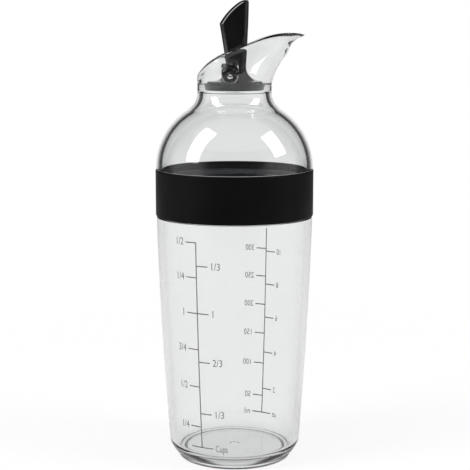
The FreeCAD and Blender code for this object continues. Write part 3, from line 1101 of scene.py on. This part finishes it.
@dataclass
class DomeSpout:
    """Clear dome that narrows to a neck and opens into a slanted pouring spout."""

    foot: float = 143.45 * MM
    spigot_radius: float = 37.1 * MM
    spigot_length: float = 3.95 * MM
    spigot_start: float = 1.0 * MM
    spigot_edge: float = 0.3 * MM
    spigot_root: float = 0.1 * MM
    foot_edge: float = 0.2 * MM
    radius: float = 38.2 * MM
    arc: float = 33.2 * MM
    skirt: float = 0.55 * MM
    wall: float = 2.8 * MM
    neck: float = 18.0 * MM
    blend: float = 9.0 * MM
    neck_length: float = 4.5 * MM
    neck_join: float = 0.2 * MM
    mouth_edge: float = 0.2 * MM
    seat_taper: float = 0.45 * MM
    seat_depth: float = 3.5 * MM
    seat_edge: float = 0.25 * MM
    seat_land: float = 0.8 * MM
    land_edge: float = 0.1 * MM
    spout_wall: float = 2.2 * MM
    # Share of the outer wall's height at its first row
    spout_start: float = 0.01
    spout_join: float = 0.3 * MM
    spout_floor: float = 0.5 * MM
    tip_rise: float = 23.0 * MM
    tip_reach: float = 34.1 * MM
    rear_flare: float = 1.0 * MM
    nose_angle: float = math.radians(45)
    # Profile of the spout in shares of the tip's rise, of its reach and of the rear flare
    rises: Sequence[float] = (0.0, 0.16, 0.40, 0.69, 0.92, 1.0, 1.10)
    reaches: Sequence[float] = (0.0, 0.07, 0.23, 0.50, 0.74, 0.99, 1.40)
    flares: Sequence[float] = (0.0, 0.5, 0.8, 0.9, 1.0, 1.0, 1.0)
    rim_slope: float = math.radians(22.2)
    # Place towards the tip and above the neck's top, as the pivot's is
    rim_bend: Point = (-5.75 * MM, 14.05 * MM)
    rim_straight: float = 19.6 * MM
    rim_rear_radius: float = 28.0 * MM
    rim_crest_radius: float = 37.8 * MM
    rim_tip_radius: float = 26.0 * MM
    rim_crown: float = 2.6 * MM
    rim_fullness: float = 0.95
    rim_rows: int = 12
    # Shares of the tip's rise between which the rim is sought
    rim_search: Point = (0.04, 1.09)
    rim_search_steps: int = 40
    lean_step: float = 0.1 * MM
    pivot: Point = (-2.0 * MM, 4.2 * MM)
    pin_hole: float = 2.12 * MM
    pin_hole_steps: int = 64
    crease: float = math.radians(50)
    boss_radius: float = 3.5 * MM
    boss_rise: float = 6.0 * MM
    boss_face: float = 14.0 * MM
    boss_draft: float = 0.8 * MM
    boss_fade: float = 3.5 * MM
    segments: int = 344
    # How far the segments crowd towards the bosses and the tip, in radians
    boss_crowding: float = 0.2
    tip_crowding: float = 0.3
    section_step: float = 2.0 * MM
    dome_rows: int = 28
    dome_inner_rows: int = 26
    blend_rows: int = 14
    outer_rows: int = 30
    inner_rows: int = 68
    dome_middle: Point = field(init=False)
    blend_middle: Point = field(init=False)
    blend_turn: float = field(init=False)
    neck_top: float = field(init=False)

    def __post_init__(self) -> None:
        """Work out the middles of the dome's arcs, the turn where they meet and the neck's top."""
        arm = self.arc + self.blend
        reach = self.neck + self.blend - self.radius + self.arc
        level = self.foot + self.skirt
        self.dome_middle = (self.radius - self.arc, level)
        self.blend_middle = (self.neck + self.blend, level + math.sqrt(arm ** 2 - reach ** 2))
        self.blend_turn = math.acos(reach / arm)
        self.neck_top = self.blend_middle[1] + self.neck_length

    def lower_section(self) -> list[Point]:
        """Outside half section, from the spigot's bore up to the top of the neck.

        Returns:
            Points of radius and height.
        """
        bore, spigot_foot = self.radius - self.wall, self.foot - self.spigot_length
        turn = self.blend_turn
        corners = [
            Corner(bore, spigot_foot + self.spigot_start),
            Corner(bore, spigot_foot, self.spigot_edge),
            Corner(self.spigot_radius, spigot_foot, self.spigot_edge),
            Corner(self.spigot_radius, self.foot, self.spigot_root),
            Corner(self.radius, self.foot, self.foot_edge),
            *swept(self.dome_middle, self.arc, 0, turn, self.dome_rows),
            *swept(self.blend_middle, self.blend, turn + math.pi, math.pi, self.blend_rows)[1:],
            Corner(self.neck, self.neck_top - self.neck_join),
        ]
        return half_section(corners, closed=False, spacing=self.section_step)

    def upper_section(self) -> list[Point]:
        """Inside half section, from the spout's floor down through the seat to the spigot.

        Returns:
            Points of radius and height.
        """
        spout_bore, mouth = self.neck - self.spout_wall, self.neck - self.wall
        seat, seat_foot = mouth - self.seat_taper, self.neck_top - self.seat_depth
        land_foot = seat_foot - self.seat_land
        blend, turn = self.blend + self.wall, self.blend_turn
        corners = [
            Corner(spout_bore, self.neck_top + self.spout_join),
            Corner(spout_bore, self.neck_top, self.mouth_edge),
            Corner(mouth, self.neck_top, self.mouth_edge),
            Corner(seat, seat_foot, self.seat_edge),
            Corner(seat, land_foot, self.seat_edge),
            Corner(mouth, land_foot, self.land_edge),
            *swept(self.blend_middle, blend, math.pi, turn + math.pi, self.blend_rows),
            *swept(self.dome_middle, self.arc - self.wall, turn, 0, self.dome_inner_rows)[1:],
        ]
        return half_section(corners, closed=False, spacing=self.section_step)

    def egg(self, angles: np.ndarray, rise: np.ndarray, inset: float) -> np.ndarray:
        """Distance of the spout's wall from the axis.

        Args:
            angles: Directions seen from above, from the pouring tip.
            rise: Heights above the neck's top, one for each direction.
            inset: Distance inside the outer wall.

        Returns:
            Distance in each direction.
        """
        share = rise / self.tip_rise
        side = self.neck + self.rear_flare * smooth_through(self.rises, self.flares, share) - inset
        reach = smooth_through(self.rises, self.reaches, share) * (self.tip_reach - self.neck)
        front = self.neck + reach - inset
        sine, cosine = math.sin(self.nose_angle), math.cos(self.nose_angle)
        side_arc = (front * cosine - side * (1 - sine)) / (sine + cosine - 1)
        nose_arc = (side - side_arc * (1 - cosine)) / cosine
        join = np.arctan2(nose_arc * cosine, side_arc * sine)
        turn = np.abs(np.arctan2(np.sin(angles), np.cos(angles)))
        drop = side - side_arc
        flank_square = np.maximum(side_arc ** 2 - (drop * np.cos(turn)) ** 2, 0)
        flank = drop * np.sin(turn) + np.sqrt(flank_square)
        lead = front - nose_arc
        nose_square = np.maximum(nose_arc ** 2 - (lead * np.sin(turn)) ** 2, 0)
        nose = lead * np.cos(turn) + np.sqrt(nose_square)
        return np.where(np.cos(turn) <= 0, side, np.where(turn >= join, flank, nose))

    def rim(self, x: np.ndarray) -> np.ndarray:
        """Height of the slanted rim above the neck's top.

        Args:
            x: Distances towards the tip.

        Returns:
            Height at each distance.
        """
        sine, cosine = math.sin(self.rim_slope), math.cos(self.rim_slope)
        bend_x, bend_z = self.rim_bend
        end_x, end_z = bend_x + self.rim_straight * cosine, bend_z + self.rim_straight * sine
        crest_x = end_x + self.rim_crest_radius * sine
        crest_z = end_z + self.rim_crest_radius * (1 - cosine)

        def bulge(middle_x: float, middle_z: float, radius: float) -> np.ndarray:
            """Height of an arc that curves downwards."""
            return middle_z + np.sqrt(np.maximum(radius ** 2 - (x - middle_x) ** 2, 0))

        rear_radius = self.rim_rear_radius
        rear = bulge(bend_x + rear_radius * sine, bend_z - rear_radius * cosine, rear_radius)
        climb = bend_z + (x - bend_x) * math.tan(self.rim_slope)
        crest = bulge(crest_x, crest_z - self.rim_crest_radius, self.rim_crest_radius)
        tip = bulge(crest_x, crest_z - self.rim_tip_radius, self.rim_tip_radius)
        ahead = np.where(x < crest_x, crest, tip)
        return np.where(x < bend_x, rear, np.where(x < end_x, climb, ahead))

    def rim_rise(self, angles: np.ndarray, inset: float) -> np.ndarray:
        """Height at which the wall meets the rim, in each direction.

        Args:
            angles: Directions seen from above.
            inset: Distance inside the outer wall.

        Returns:
            Heights above the neck's top.
        """
        low, high = (np.full_like(angles, share * self.tip_rise) for share in self.rim_search)
        for _ in range(self.rim_search_steps):
            middle = (low + high) / 2
            under = middle < self.rim(self.egg(angles, middle, inset) * np.cos(angles))
            low, high = np.where(under, middle, low), np.where(under, high, middle)
        return low

    def below_rim(self, angles: np.ndarray, inset: float) -> np.ndarray:
        """Height at which the rounding of the rim starts, measured down the slope of the wall.

        Args:
            angles: Directions seen from above.
            inset: Distance inside the outer wall.

        Returns:
            Heights above the neck's top.
        """
        rise = self.rim_rise(angles, inset)
        below = self.egg(angles, rise - self.lean_step, inset)
        lean = (self.egg(angles, rise, inset) - below) / self.lean_step
        return rise - self.rim_crown / np.sqrt(1 + lean ** 2)

    def wall_row(self, angles: np.ndarray, rise: np.ndarray, inset: float) -> np.ndarray:
        """Points of one row round the spout's wall.

        Args:
            angles: Directions seen from above.
            rise: Height above the neck's top in each direction.
            inset: Distance inside the outer wall.

        Returns:
            Positions of the row.
        """
        reach = self.egg(angles, rise, inset)
        x, y = reach * np.cos(angles), reach * np.sin(angles)
        return np.stack((x, y, self.neck_top + rise), axis=1)

    def add_bosses(self, row: np.ndarray) -> np.ndarray:
        """Draw a row of the inner wall in to the two pivot bosses.

        Args:
            row: Positions of the row.

        Returns:
            The drawn row.
        """
        x = row[:, 0] - self.pivot[0]
        z = row[:, 2] - self.neck_top - self.pivot[1]
        depth = np.where(z > 0, self.boss_radius - np.abs(x), self.boss_radius - np.hypot(x, z))
        share = np.clip(depth / self.boss_draft + 0.5, 0, 1)
        share = share * share * (3 - 2 * share)
        share = share * np.clip((self.boss_rise - z) / self.boss_fade, 0, 1)
        drawn = row.copy()
        inside = np.abs(row[:, 1]) > self.boss_face
        target = np.sign(row[:, 1]) * self.boss_face
        drawn[:, 1] = np.where(inside, row[:, 1] + (target - row[:, 1]) * share, row[:, 1])
        return drawn

    def build(self) -> Piece:
        """Make the shell as one closed mesh, then drill the pin's holes.

        Returns:
            The drilled shell.
        """
        even, wall = even_angles(self.segments), self.spout_wall
        crowded = even + self.boss_crowding / 2 * np.sin(2 * even)
        angles = crowded - self.tip_crowding * np.sin(even)
        outer_top = self.below_rim(angles, 0.0)
        inner_top = self.below_rim(angles, wall)
        rows = list(turned_rings(self.lower_section(), angles))
        for share in np.linspace(self.spout_start, 1, self.outer_rows):
            rows.append(self.wall_row(angles, outer_top * share, 0.0))
        outer = rows[-1]
        inner = self.wall_row(angles, inner_top, wall)
        lip = self.wall_row(angles, self.rim_rise(angles, 0.0), 0.0) - outer
        lip += self.wall_row(angles, self.rim_rise(angles, wall), wall) - inner
        for turn in np.linspace(0, math.pi, self.rim_rows + 1)[1:-1]:
            across = math.copysign(abs(math.cos(turn)) ** self.rim_fullness, math.cos(turn))
            up = math.sin(turn) ** self.rim_fullness
            rows.append((outer + inner) / 2 + (outer - inner) / 2 * across + lip / 2 * up)
        for share in np.linspace(1, 0, self.inner_rows):
            rise = self.spout_floor + (inner_top - self.spout_floor) * share
            rows.append(self.add_bosses(self.wall_row(angles, rise, wall)))
        rows.extend(turned_rings(self.upper_section(), angles))
        return self.drill(shell("dome_shell", np.array(rows), closed=True))

    def drill(self, piece: Piece) -> Piece:
        """Cut the pin's holes through the walls and bosses.

        Args:
            piece: Whole shell.

        Returns:
            The drilled shell.
        """
        steps, reach = self.pin_hole_steps, 2 * self.neck
        x, z = self.pivot[0], self.neck_top + self.pivot[1]
        points = [(x + self.pin_hole * math.cos(a), y, z + self.pin_hole * math.sin(a))
                  for y in (-reach, reach) for a in even_angles(steps)]
        faces = [(i, (i + 1) % steps, steps + (i + 1) % steps, steps + i) for i in range(steps)]
        faces += [tuple(range(steps))[::-1], tuple(range(steps, 2 * steps))]
        drill = new_piece("drill", points, [face[::-1] for face in faces])
        cut = piece.modifiers.new("pin_holes", "BOOLEAN")
        cut.operation, cut.solver, cut.object = "DIFFERENCE", "EXACT", drill
        graph = bpy.context.evaluated_depsgraph_get()
        mesh = bpy.data.meshes.new_from_object(piece.evaluated_get(graph))
        piece.modifiers.clear()
        piece.data = mesh
        bpy.data.objects.remove(drill)
        mesh.shade_smooth()
        mesh.set_sharp_from_angle(angle=self.crease)
        return piece

    def make(self, clear: Material) -> None:
        """Build the dome, dress it and fix it to its body.

        Args:
            clear: Material of the clear moulding.
        """
        piece = self.build()
        dress(piece, clear)
        settle(piece, Body.TOP, Slot.CLEAR, "dome_spout")


@dataclass
class PourLever:
    """Glossy thumb lever, the soft seal under its plate and the pin that it tips on."""

    neck_top: float
    height: float = 40.0 * MM
    foot_width: float = 10.0 * MM
    top_width: float = 13.0 * MM
    crown: float = 4.6 * MM
    face_rise: float = 1.0 * MM
    # Bow of the sides as a share of the paddle's widening
    face_bow: float = 0.25
    front_reach: float = 6.9 * MM
    front_foot: float = 4.6 * MM
    front_bow: float = 0.45 * MM
    front_edge: float = 1.0 * MM
    front_rows: int = 12
    rear_reach: float = 7.1 * MM
    rear_rise: float = 28.6 * MM
    rear_edge: float = 0.8 * MM
    waist_reach: float = 4.2 * MM
    waist_rise: float = 10.5 * MM
    crest_width: float = 2.6 * MM
    crest_edge: float = 2.0 * MM
    slope_bow: float = 1.1 * MM
    slope_rows: int = 16
    edge_radius: float = 2.8 * MM
    plate_radius: float = 13.3 * MM
    plate_top: float = 1.2 * MM
    plate_edge: float = 0.5 * MM
    plate_foot_edge: float = 0.35 * MM
    plate_fillet: float = 0.5 * MM
    post_radius: float = 4.0 * MM
    post_offset: float = 1.0 * MM
    post_rows: int = 16
    post_fillet: float = 1.6 * MM
    hub_radius: float = 3.3 * MM
    hub_half: float = 13.7 * MM
    hub_bore: float = 2.18 * MM
    hub_edge: float = 0.4 * MM
    hub_fillet: float = 1.2 * MM
    stud_radius: float = 4.0 * MM
    stud_gap: float = 0.05 * MM
    stud_head_radius: float = 5.4 * MM
    stud_head_height: float = 1.0 * MM
    stud_head_edge: float = 0.4 * MM
    stud_head_root: float = 0.2 * MM
    # Space that the lever's surface is sought in
    cell: float = 0.3 * MM
    spare_cells: int = 3
    room_below: float = 5.0 * MM
    room_above: float = 1.0 * MM
    seal_top_radius: float = 14.85 * MM
    seal_foot_radius: float = 14.4 * MM
    seal_bore: float = 4.05 * MM
    seal_top: float = -0.1 * MM
    seal_thickness: float = 3.0 * MM
    seal_bore_edge: float = 0.15 * MM
    seal_foot_edge: float = 0.35 * MM
    seal_lip: float = 0.3 * MM
    pin_radius: float = 2.1 * MM
    pin_length: float = 35.4 * MM
    pin_chamfer: float = 0.8 * MM
    pin_edge: float = 0.3 * MM
    pin_dome: float = 0.1 * MM
    pin_dimple: float = 0.7 * MM
    pin_dimple_edge: float = 0.2 * MM
    # Depth as a share of the dimple's radius
    pin_dimple_depth: float = 0.3
    pin_segments: int = 64
    pivot: Point = (-2.0 * MM, 4.2 * MM)
    segments: int = 192

    def side_outline(self) -> list[Point]:
        """Outline of the paddle seen from the side of the bottle.

        Returns:
            Points along the spout and up.
        """
        lean = (self.rear_reach - self.waist_reach) / (self.rear_rise - self.waist_rise)
        front_foot, front_top = (self.front_foot, 0.0), (self.front_reach, self.height)
        crest = (self.front_reach - self.crest_width, self.height)
        rear_top = (-self.rear_reach, self.rear_rise)
        corners = [
            Corner(*front_foot),
            *bowed(front_foot, front_top, self.front_bow, self.front_rows)[:-1],
            Corner(*front_top, self.front_edge),
            Corner(*crest, self.crest_edge),
            *bowed(crest, rear_top, self.slope_bow, self.slope_rows)[:-1],
            Corner(*rear_top, self.rear_edge),
            Corner(lean * self.waist_rise - self.waist_reach, 0.0),
        ]
        return half_section(corners, closed=True, spacing=UNDIVIDED)

    def face_outline(self) -> list[Point]:
        """Outline of the paddle seen along the spout.

        Returns:
            Points across the spout and up.
        """
        top, half, foot = self.height + self.face_rise, self.top_width / 2, self.foot_width / 2
        bow = self.face_bow * (half - foot)
        right = bowed((foot, 0.0), (half, top - self.crown), bow, self.front_rows)
        corners = [Corner(foot, 0.0), *right, Corner(half, top, self.crown)]
        mirrored = [Corner(-corner.r, corner.z, corner.rounding) for corner in reversed(corners)]
        return half_section(corners + mirrored, closed=True, spacing=UNDIVIDED)

    def post_outline(self) -> list[Point]:
        """Half outline of the flare between the paddle and the plate.

        Returns:
            Points of radius and height.
        """
        foot, top = self.plate_radius - self.post_offset, self.plate_top
        arc = foot - self.post_radius
        flare = swept((foot, top + arc), arc, -math.pi / 2, -math.pi, self.post_rows)
        return [(0.0, 0.0), (foot, 0.0), *((c.r, c.z) for c in flare), (0.0, top + arc)]

    def plate_outline(self) -> list[Point]:
        """Half outline of the stopper plate with the stud below it.

        Returns:
            Points of radius and height.
        """
        seat = self.seal_top
        head = seat - self.seal_thickness - self.stud_gap
        foot = head - self.stud_head_height
        corners = [
            Corner(0, foot),
            Corner(self.stud_head_radius, foot, self.stud_head_edge),
            Corner(self.stud_head_radius, head, self.stud_head_root),
            Corner(self.stud_radius, head),
            Corner(self.stud_radius, seat),
            Corner(self.plate_radius, seat, self.plate_foot_edge),
            Corner(self.plate_radius, self.plate_top, self.plate_edge),
            Corner(0, self.plate_top),
        ]
        return half_section(corners, closed=False, spacing=UNDIVIDED)

    def distance(self, x: np.ndarray, y: np.ndarray, z: np.ndarray) -> np.ndarray:
        """Signed distance from the lever.

        Args:
            x: Places along the spout.
            y: Places across it.
            z: Places up the bottle.

        Returns:
            Distance at each place.
        """
        rise = z - self.neck_top
        paddle = rounded_overlap(outline_distance(self.side_outline(), x, rise),
                                 outline_distance(self.face_outline(), y, rise), self.edge_radius)
        post = outline_distance(self.post_outline(), np.hypot(x - self.post_offset, y), rise)
        plate = outline_distance(self.plate_outline(), np.hypot(x, y), rise)
        round_pivot = np.hypot(x - self.pivot[0], rise - self.pivot[1])
        past_hub = np.abs(y) - self.hub_half
        hub = rounded_overlap(round_pivot - self.hub_radius, past_hub, self.hub_edge)
        lever = filleted_union(paddle, post, self.post_fillet)
        lever = filleted_union(lever, hub, self.hub_fillet)
        lever = filleted_union(lever, plate, self.plate_fillet)
        return np.maximum(lever, self.hub_bore - round_pivot)

    def build_lever(self) -> Piece:
        """Make the lever with its moulded edges and fillets.

        Returns:
            The lever.
        """
        spare = self.spare_cells * self.cell
        reach = self.plate_radius + spare
        low = (-reach, -self.hub_half - spare, self.neck_top - self.room_below)
        high = (reach, self.hub_half + spare, self.neck_top + self.height + self.room_above)
        return wrapped_surface("lever_paddle", self.distance, low, high, self.cell)

    def build_seal(self) -> Piece:
        """Make the tapered seal with rounded lips.

        Returns:
            The seal.
        """
        top = self.neck_top + self.seal_top
        low = top - self.seal_thickness
        corners = [
            Corner(self.seal_bore, low, self.seal_bore_edge),
            Corner(self.seal_foot_radius, low, self.seal_foot_edge),
            Corner(self.seal_top_radius, top, self.seal_lip),
            Corner(self.seal_bore, top, self.seal_bore_edge),
        ]
        rings = turned_rings(half_section(corners, closed=True), even_angles(self.segments))
        return shell("seal_plug", rings, closed=True)

    def build_pin(self) -> Piece:
        """Make the pin with rounded edges and a dimple in each end, laid across the spout.

        Returns:
            The pin.
        """
        half, shoulder = self.pin_length / 2, self.pin_radius - self.pin_chamfer
        dimple = self.pin_dimple_depth * self.pin_dimple
        near_end = [
            Corner(0, half - dimple),
            Corner(self.pin_dimple, half, self.pin_dimple_edge),
            Corner(shoulder, half - self.pin_dome, self.pin_edge),
            Corner(self.pin_radius, half - self.pin_chamfer, self.pin_edge),
        ]
        far_end = [Corner(corner.r, -corner.z, corner.rounding) for corner in near_end]
        section = half_section(far_end + near_end[::-1], closed=False)
        rings = turned_rings(section, even_angles(self.pin_segments))
        pin = shell("pin_shank", rings, closed=False)
        place = Matrix.Translation((self.pivot[0], 0, self.neck_top + self.pivot[1]))
        pin.matrix_world = place @ Matrix.Rotation(math.pi / 2, 4, "X")
        return pin

    def make(self, gloss: Material, silicone: Material, steel: Material) -> None:
        """Build the lever, the seal and the pin, dress them and fix them to their bodies.

        Args:
            gloss: Material of the lever.
            silicone: Material of the seal.
            steel: Material of the pin.
        """
        lever, seal, pin = self.build_lever(), self.build_seal(), self.build_pin()
        dress(lever, gloss)
        settle(lever, Body.LEVER, Slot.GLOSS, "thumb_lever")
        dress(seal, silicone)
        settle(seal, Body.LEVER, Slot.SILICONE, "stopper_seal")
        dress(pin, steel)
        settle(pin, Body.TOP, Slot.STEEL, "pivot_pin")


# Studio


@dataclass(frozen=True)
class Softbox:
    """Rectangular soft light aimed at the middle of the bottle."""

    name: str
    place: tuple[float, float, float]
    size: Point
    power: float
    aim_height: float = 0.13

    def make(self) -> None:
        """Hang the light."""
        light = bpy.data.lights.new(self.name, "AREA")
        light.shape = "RECTANGLE"
        light.size, light.size_y = self.size
        light.energy = self.power
        lamp = bpy.data.objects.new(self.name, light)
        lamp.location = self.place
        aim = Vector((0, 0, self.aim_height)) - lamp.location
        lamp.rotation_euler = aim.to_track_quat("-Z", "Y").to_euler()
        lamp.visible_camera = lamp.visible_transmission = False
        bpy.context.scene.collection.objects.link(lamp)


@dataclass
class Studio:
    """White sweep, softboxes and the camera at the photographed angle."""

    focal_pixels: float = 1277.0
    frame_pixels: float = 470.0
    sensor: float = 36.0
    camera_place: tuple[float, float, float] = (0.00025, -0.62, 0.2087)
    # Degrees that the camera looks down
    pitch: float = 8.995
    clip: Point = (0.01, 50)
    floor_radius: float = 1.1
    floor_segments: int = 96
    floor_drop: float = 0.02 * MM
    floor_grey: Colour = (0.88, 0.88, 0.88)
    floor_glow: float = 0.86
    # Brightness of the floor to rays mirrored inside the clear shells
    floor_mirrored: float = 0.8
    # Distance, and share of the floor's radius, between which the floor fades to white
    glow_start: float = 0.06
    glow_end: float = 0.4
    ambient: float = 0.35
    # Brightness from the front of the room to its back
    panels: Sequence[Point] = (
        (0.0, 0.12), (0.10, 0.18), (0.25, 0.75), (0.55, 0.7),
        (0.70, 0.13), (0.93, 0.08), (0.975, 0.95), (1.0, 1.0),
    )
    ceiling: float = 0.12
    sweep_heights: Point = (0.12, 0.55)
    softboxes: Sequence[Softbox] = (
        Softbox("softbox_left", (-0.87, -0.41, 0.84), (0.48, 1.15), 14.0),
        Softbox("softbox_right", (0.89, -0.27, 0.79), (0.46, 0.70), 9.0),
    )

    def set_camera(self) -> None:
        """Place the camera."""
        lens = bpy.data.cameras.new("photo_camera")
        lens.sensor_width = self.sensor
        lens.lens = self.sensor * self.focal_pixels / self.frame_pixels
        lens.clip_start, lens.clip_end = self.clip
        camera = bpy.data.objects.new("photo_camera", lens)
        camera.location = self.camera_place
        camera.rotation_euler = (math.radians(90 - self.pitch), 0, 0)
        bpy.context.scene.collection.objects.link(camera)
        bpy.context.scene.camera = camera

    def set_world(self) -> None:
        """White backdrop, with dark gaps at its sides that only mirrored rays see."""
        world = bpy.data.worlds.new("studio")
        world.use_nodes = True
        nodes = Nodes(world.node_tree)
        rays = nodes.add("LightPath").outputs
        place = nodes.add("TexCoord").outputs["Generated"]
        way = nodes.add("SeparateXYZ", {"Vector": place}).outputs
        sweep = nodes.spread(way["Z"], 1.0, self.ceiling, *self.sweep_heights, "SMOOTHSTEP")
        panels = nodes.add("FloatCurve", {"Value": nodes.math("MULTIPLY_ADD", way["Y"], 0.5, 0.5)})
        curve = panels.mapping.curves[0]
        for point, (at, level) in zip(curve.points, (self.panels[0], self.panels[-1])):
            point.location = at, level
        for at, level in self.panels[1:-1]:
            curve.points.new(at, level)
        panels.mapping.update()
        bounced = nodes.math("MULTIPLY", sweep, panels.outputs["Value"])

        def choose(ray: str, otherwise: object, level: object) -> Socket:
            """Strength that one kind of ray sees, and the strength for the others.

            Args:
                ray: Light path output that picks the rays.
                otherwise: Strength for the other rays.
                level: Strength for the picked rays.

            Returns:
                The chosen strength.
            """
            mix = nodes.add("Mix", {"Factor": rays[ray], "A": otherwise, "B": level})
            return mix.outputs["Result"]

        through = choose("Glossy Depth", sweep, bounced)
        mirrored = choose("Is Glossy Ray", self.ambient, bounced)
        strength = choose("Is Camera Ray", choose("Is Transmission Ray", mirrored, through), 1.0)
        white = nodes.add("Background", {"Color": (1, 1, 1, 1), "Strength": strength})
        nodes.add("OutputWorld", {"Surface": white.outputs["Background"]})
        bpy.context.scene.world = world

    def floor_material(self) -> Material:
        """Pale floor that keeps the shadow and fades into the white backdrop.

        Returns:
            The floor's material.
        """
        shader = Shader("studio_floor")
        rays = shader.add("LightPath").outputs
        seen = shader.math("MAXIMUM", rays["Is Camera Ray"], rays["Is Transmission Ray"])
        place = shader.add("TexCoord").outputs["Object"]
        distance = shader.add("VectorMath", {"Vector": place}, operation="LENGTH").outputs["Value"]
        fade = (self.glow_start, self.glow_end * self.floor_radius)
        share = shader.math("MULTIPLY", seen, shader.spread(distance, self.floor_glow, 1.0, *fade))
        matte = shader.add("BsdfDiffuse", {"Color": (*self.floor_grey, 1)})
        mirrored = shader.spread(rays["Glossy Depth"], 1.0, self.floor_mirrored, 0.0, 1.0)
        bright = shader.add("Emission", {"Color": (1, 1, 1, 1), "Strength": mirrored})
        mix = shader.add("MixShader", {
            0: share, 1: matte.outputs["BSDF"], 2: bright.outputs["Emission"],
        })
        shader.tree.links.new(mix.outputs["Shader"], shader.output.inputs["Surface"])
        return shader.material

    def set_floor(self) -> None:
        """Lay a round floor under the bottle."""
        section = [(0.0, 0.0), (self.floor_radius, 0.0)]
        rings = turned_rings(section, even_angles(self.floor_segments))
        floor = shell("studio_floor", rings[::-1], closed=False)
        floor.location.z = -self.floor_drop
        dress(floor, self.floor_material())

    def make(self) -> None:
        """Set up the whole studio."""
        bpy.context.scene.view_settings.view_transform = "Standard"
        self.set_camera()
        self.set_world()
        self.set_floor()
        for softbox in self.softboxes:
            softbox.make()
        LOG.info("studio is set")


def marks_beside(side: Side, labels: Sequence[tuple[float, str]]) -> list[Mark]:
    """Marks on one side of a scale, from heights in millimetres and labels."""
    return [Mark(height * MM, side, label) for height, label in labels]


def front_scale(cup: Cup) -> MeasuringScale:
    """Scale in cups, on the side that faces the camera.

    Args:
        cup: Cup that it is printed on.

    Returns:
        The scale.
    """
    marks = marks_beside(Side.LEFT, (
        (112.1, "1/2"), (95.4, "1/4"), (78.2, "1"), (60.5, "3/4"),
        (42.0, "1/2"), (21.9, "1/4"), (11.5, ""),
    ))
    marks += marks_beside(Side.RIGHT, (
        (101.0, "1/3"), (78.2, "1"), (54.4, "2/3"), (28.7, "1/3"),
    ))
    bottom, top = 11.5 * MM, 112.1 * MM
    marks.append(Mark(bottom, Side.RIGHT, "Cups", squeeze=0.57))
    return MeasuringScale("scale_cups", cup, -28.5, top, bottom, marks)


def rear_scale(cup: Cup) -> MeasuringScale:
    """Scale in millilitres and ounces, on the far side.

    Args:
        cup: Cup that it is printed on.

    Returns:
        The scale.
    """
    marks = marks_beside(Side.RIGHT, (
        (98.8, "300"), (84.3, "250"), (69.5, "200"), (54.3, "150"),
        (38.5, "100"), (21.4, "50"), (12.5, "ml"),
    ))
    marks += marks_beside(Side.LEFT, (
        (97.4, "10"), (80.2, "8"), (62.8, "6"), (44.4, "4"), (25.1, "2"), (12.5, "oz"),
    ))
    bottom, top = 12.5 * MM, 109.0 * MM
    return MeasuringScale("scale_millilitres", cup, 152.0, top, bottom, marks, text_height=3.0 * MM)


def main() -> None:
    """Build every sub-assembly in order."""
    logging.basicConfig(level=logging.INFO, format="%(name)s: %(message)s")
    Studio().make()
    clear, ink = ClearPlastic().material(), ScaleInk().material()
    silicone = GreySilicone().material()
    cup = Cup()
    cup.make(clear)
    for scale in (front_scale(cup), rear_scale(cup)):
        scale.make(ink)
    GripCollar().make(SatinBlack().material(), silicone)
    dome = DomeSpout()
    dome.make(clear)
    PourLever(dome.neck_top).make(GlossBlack().material(), silicone, BrightSteel().material())


if __name__ == "__main__":
    main()
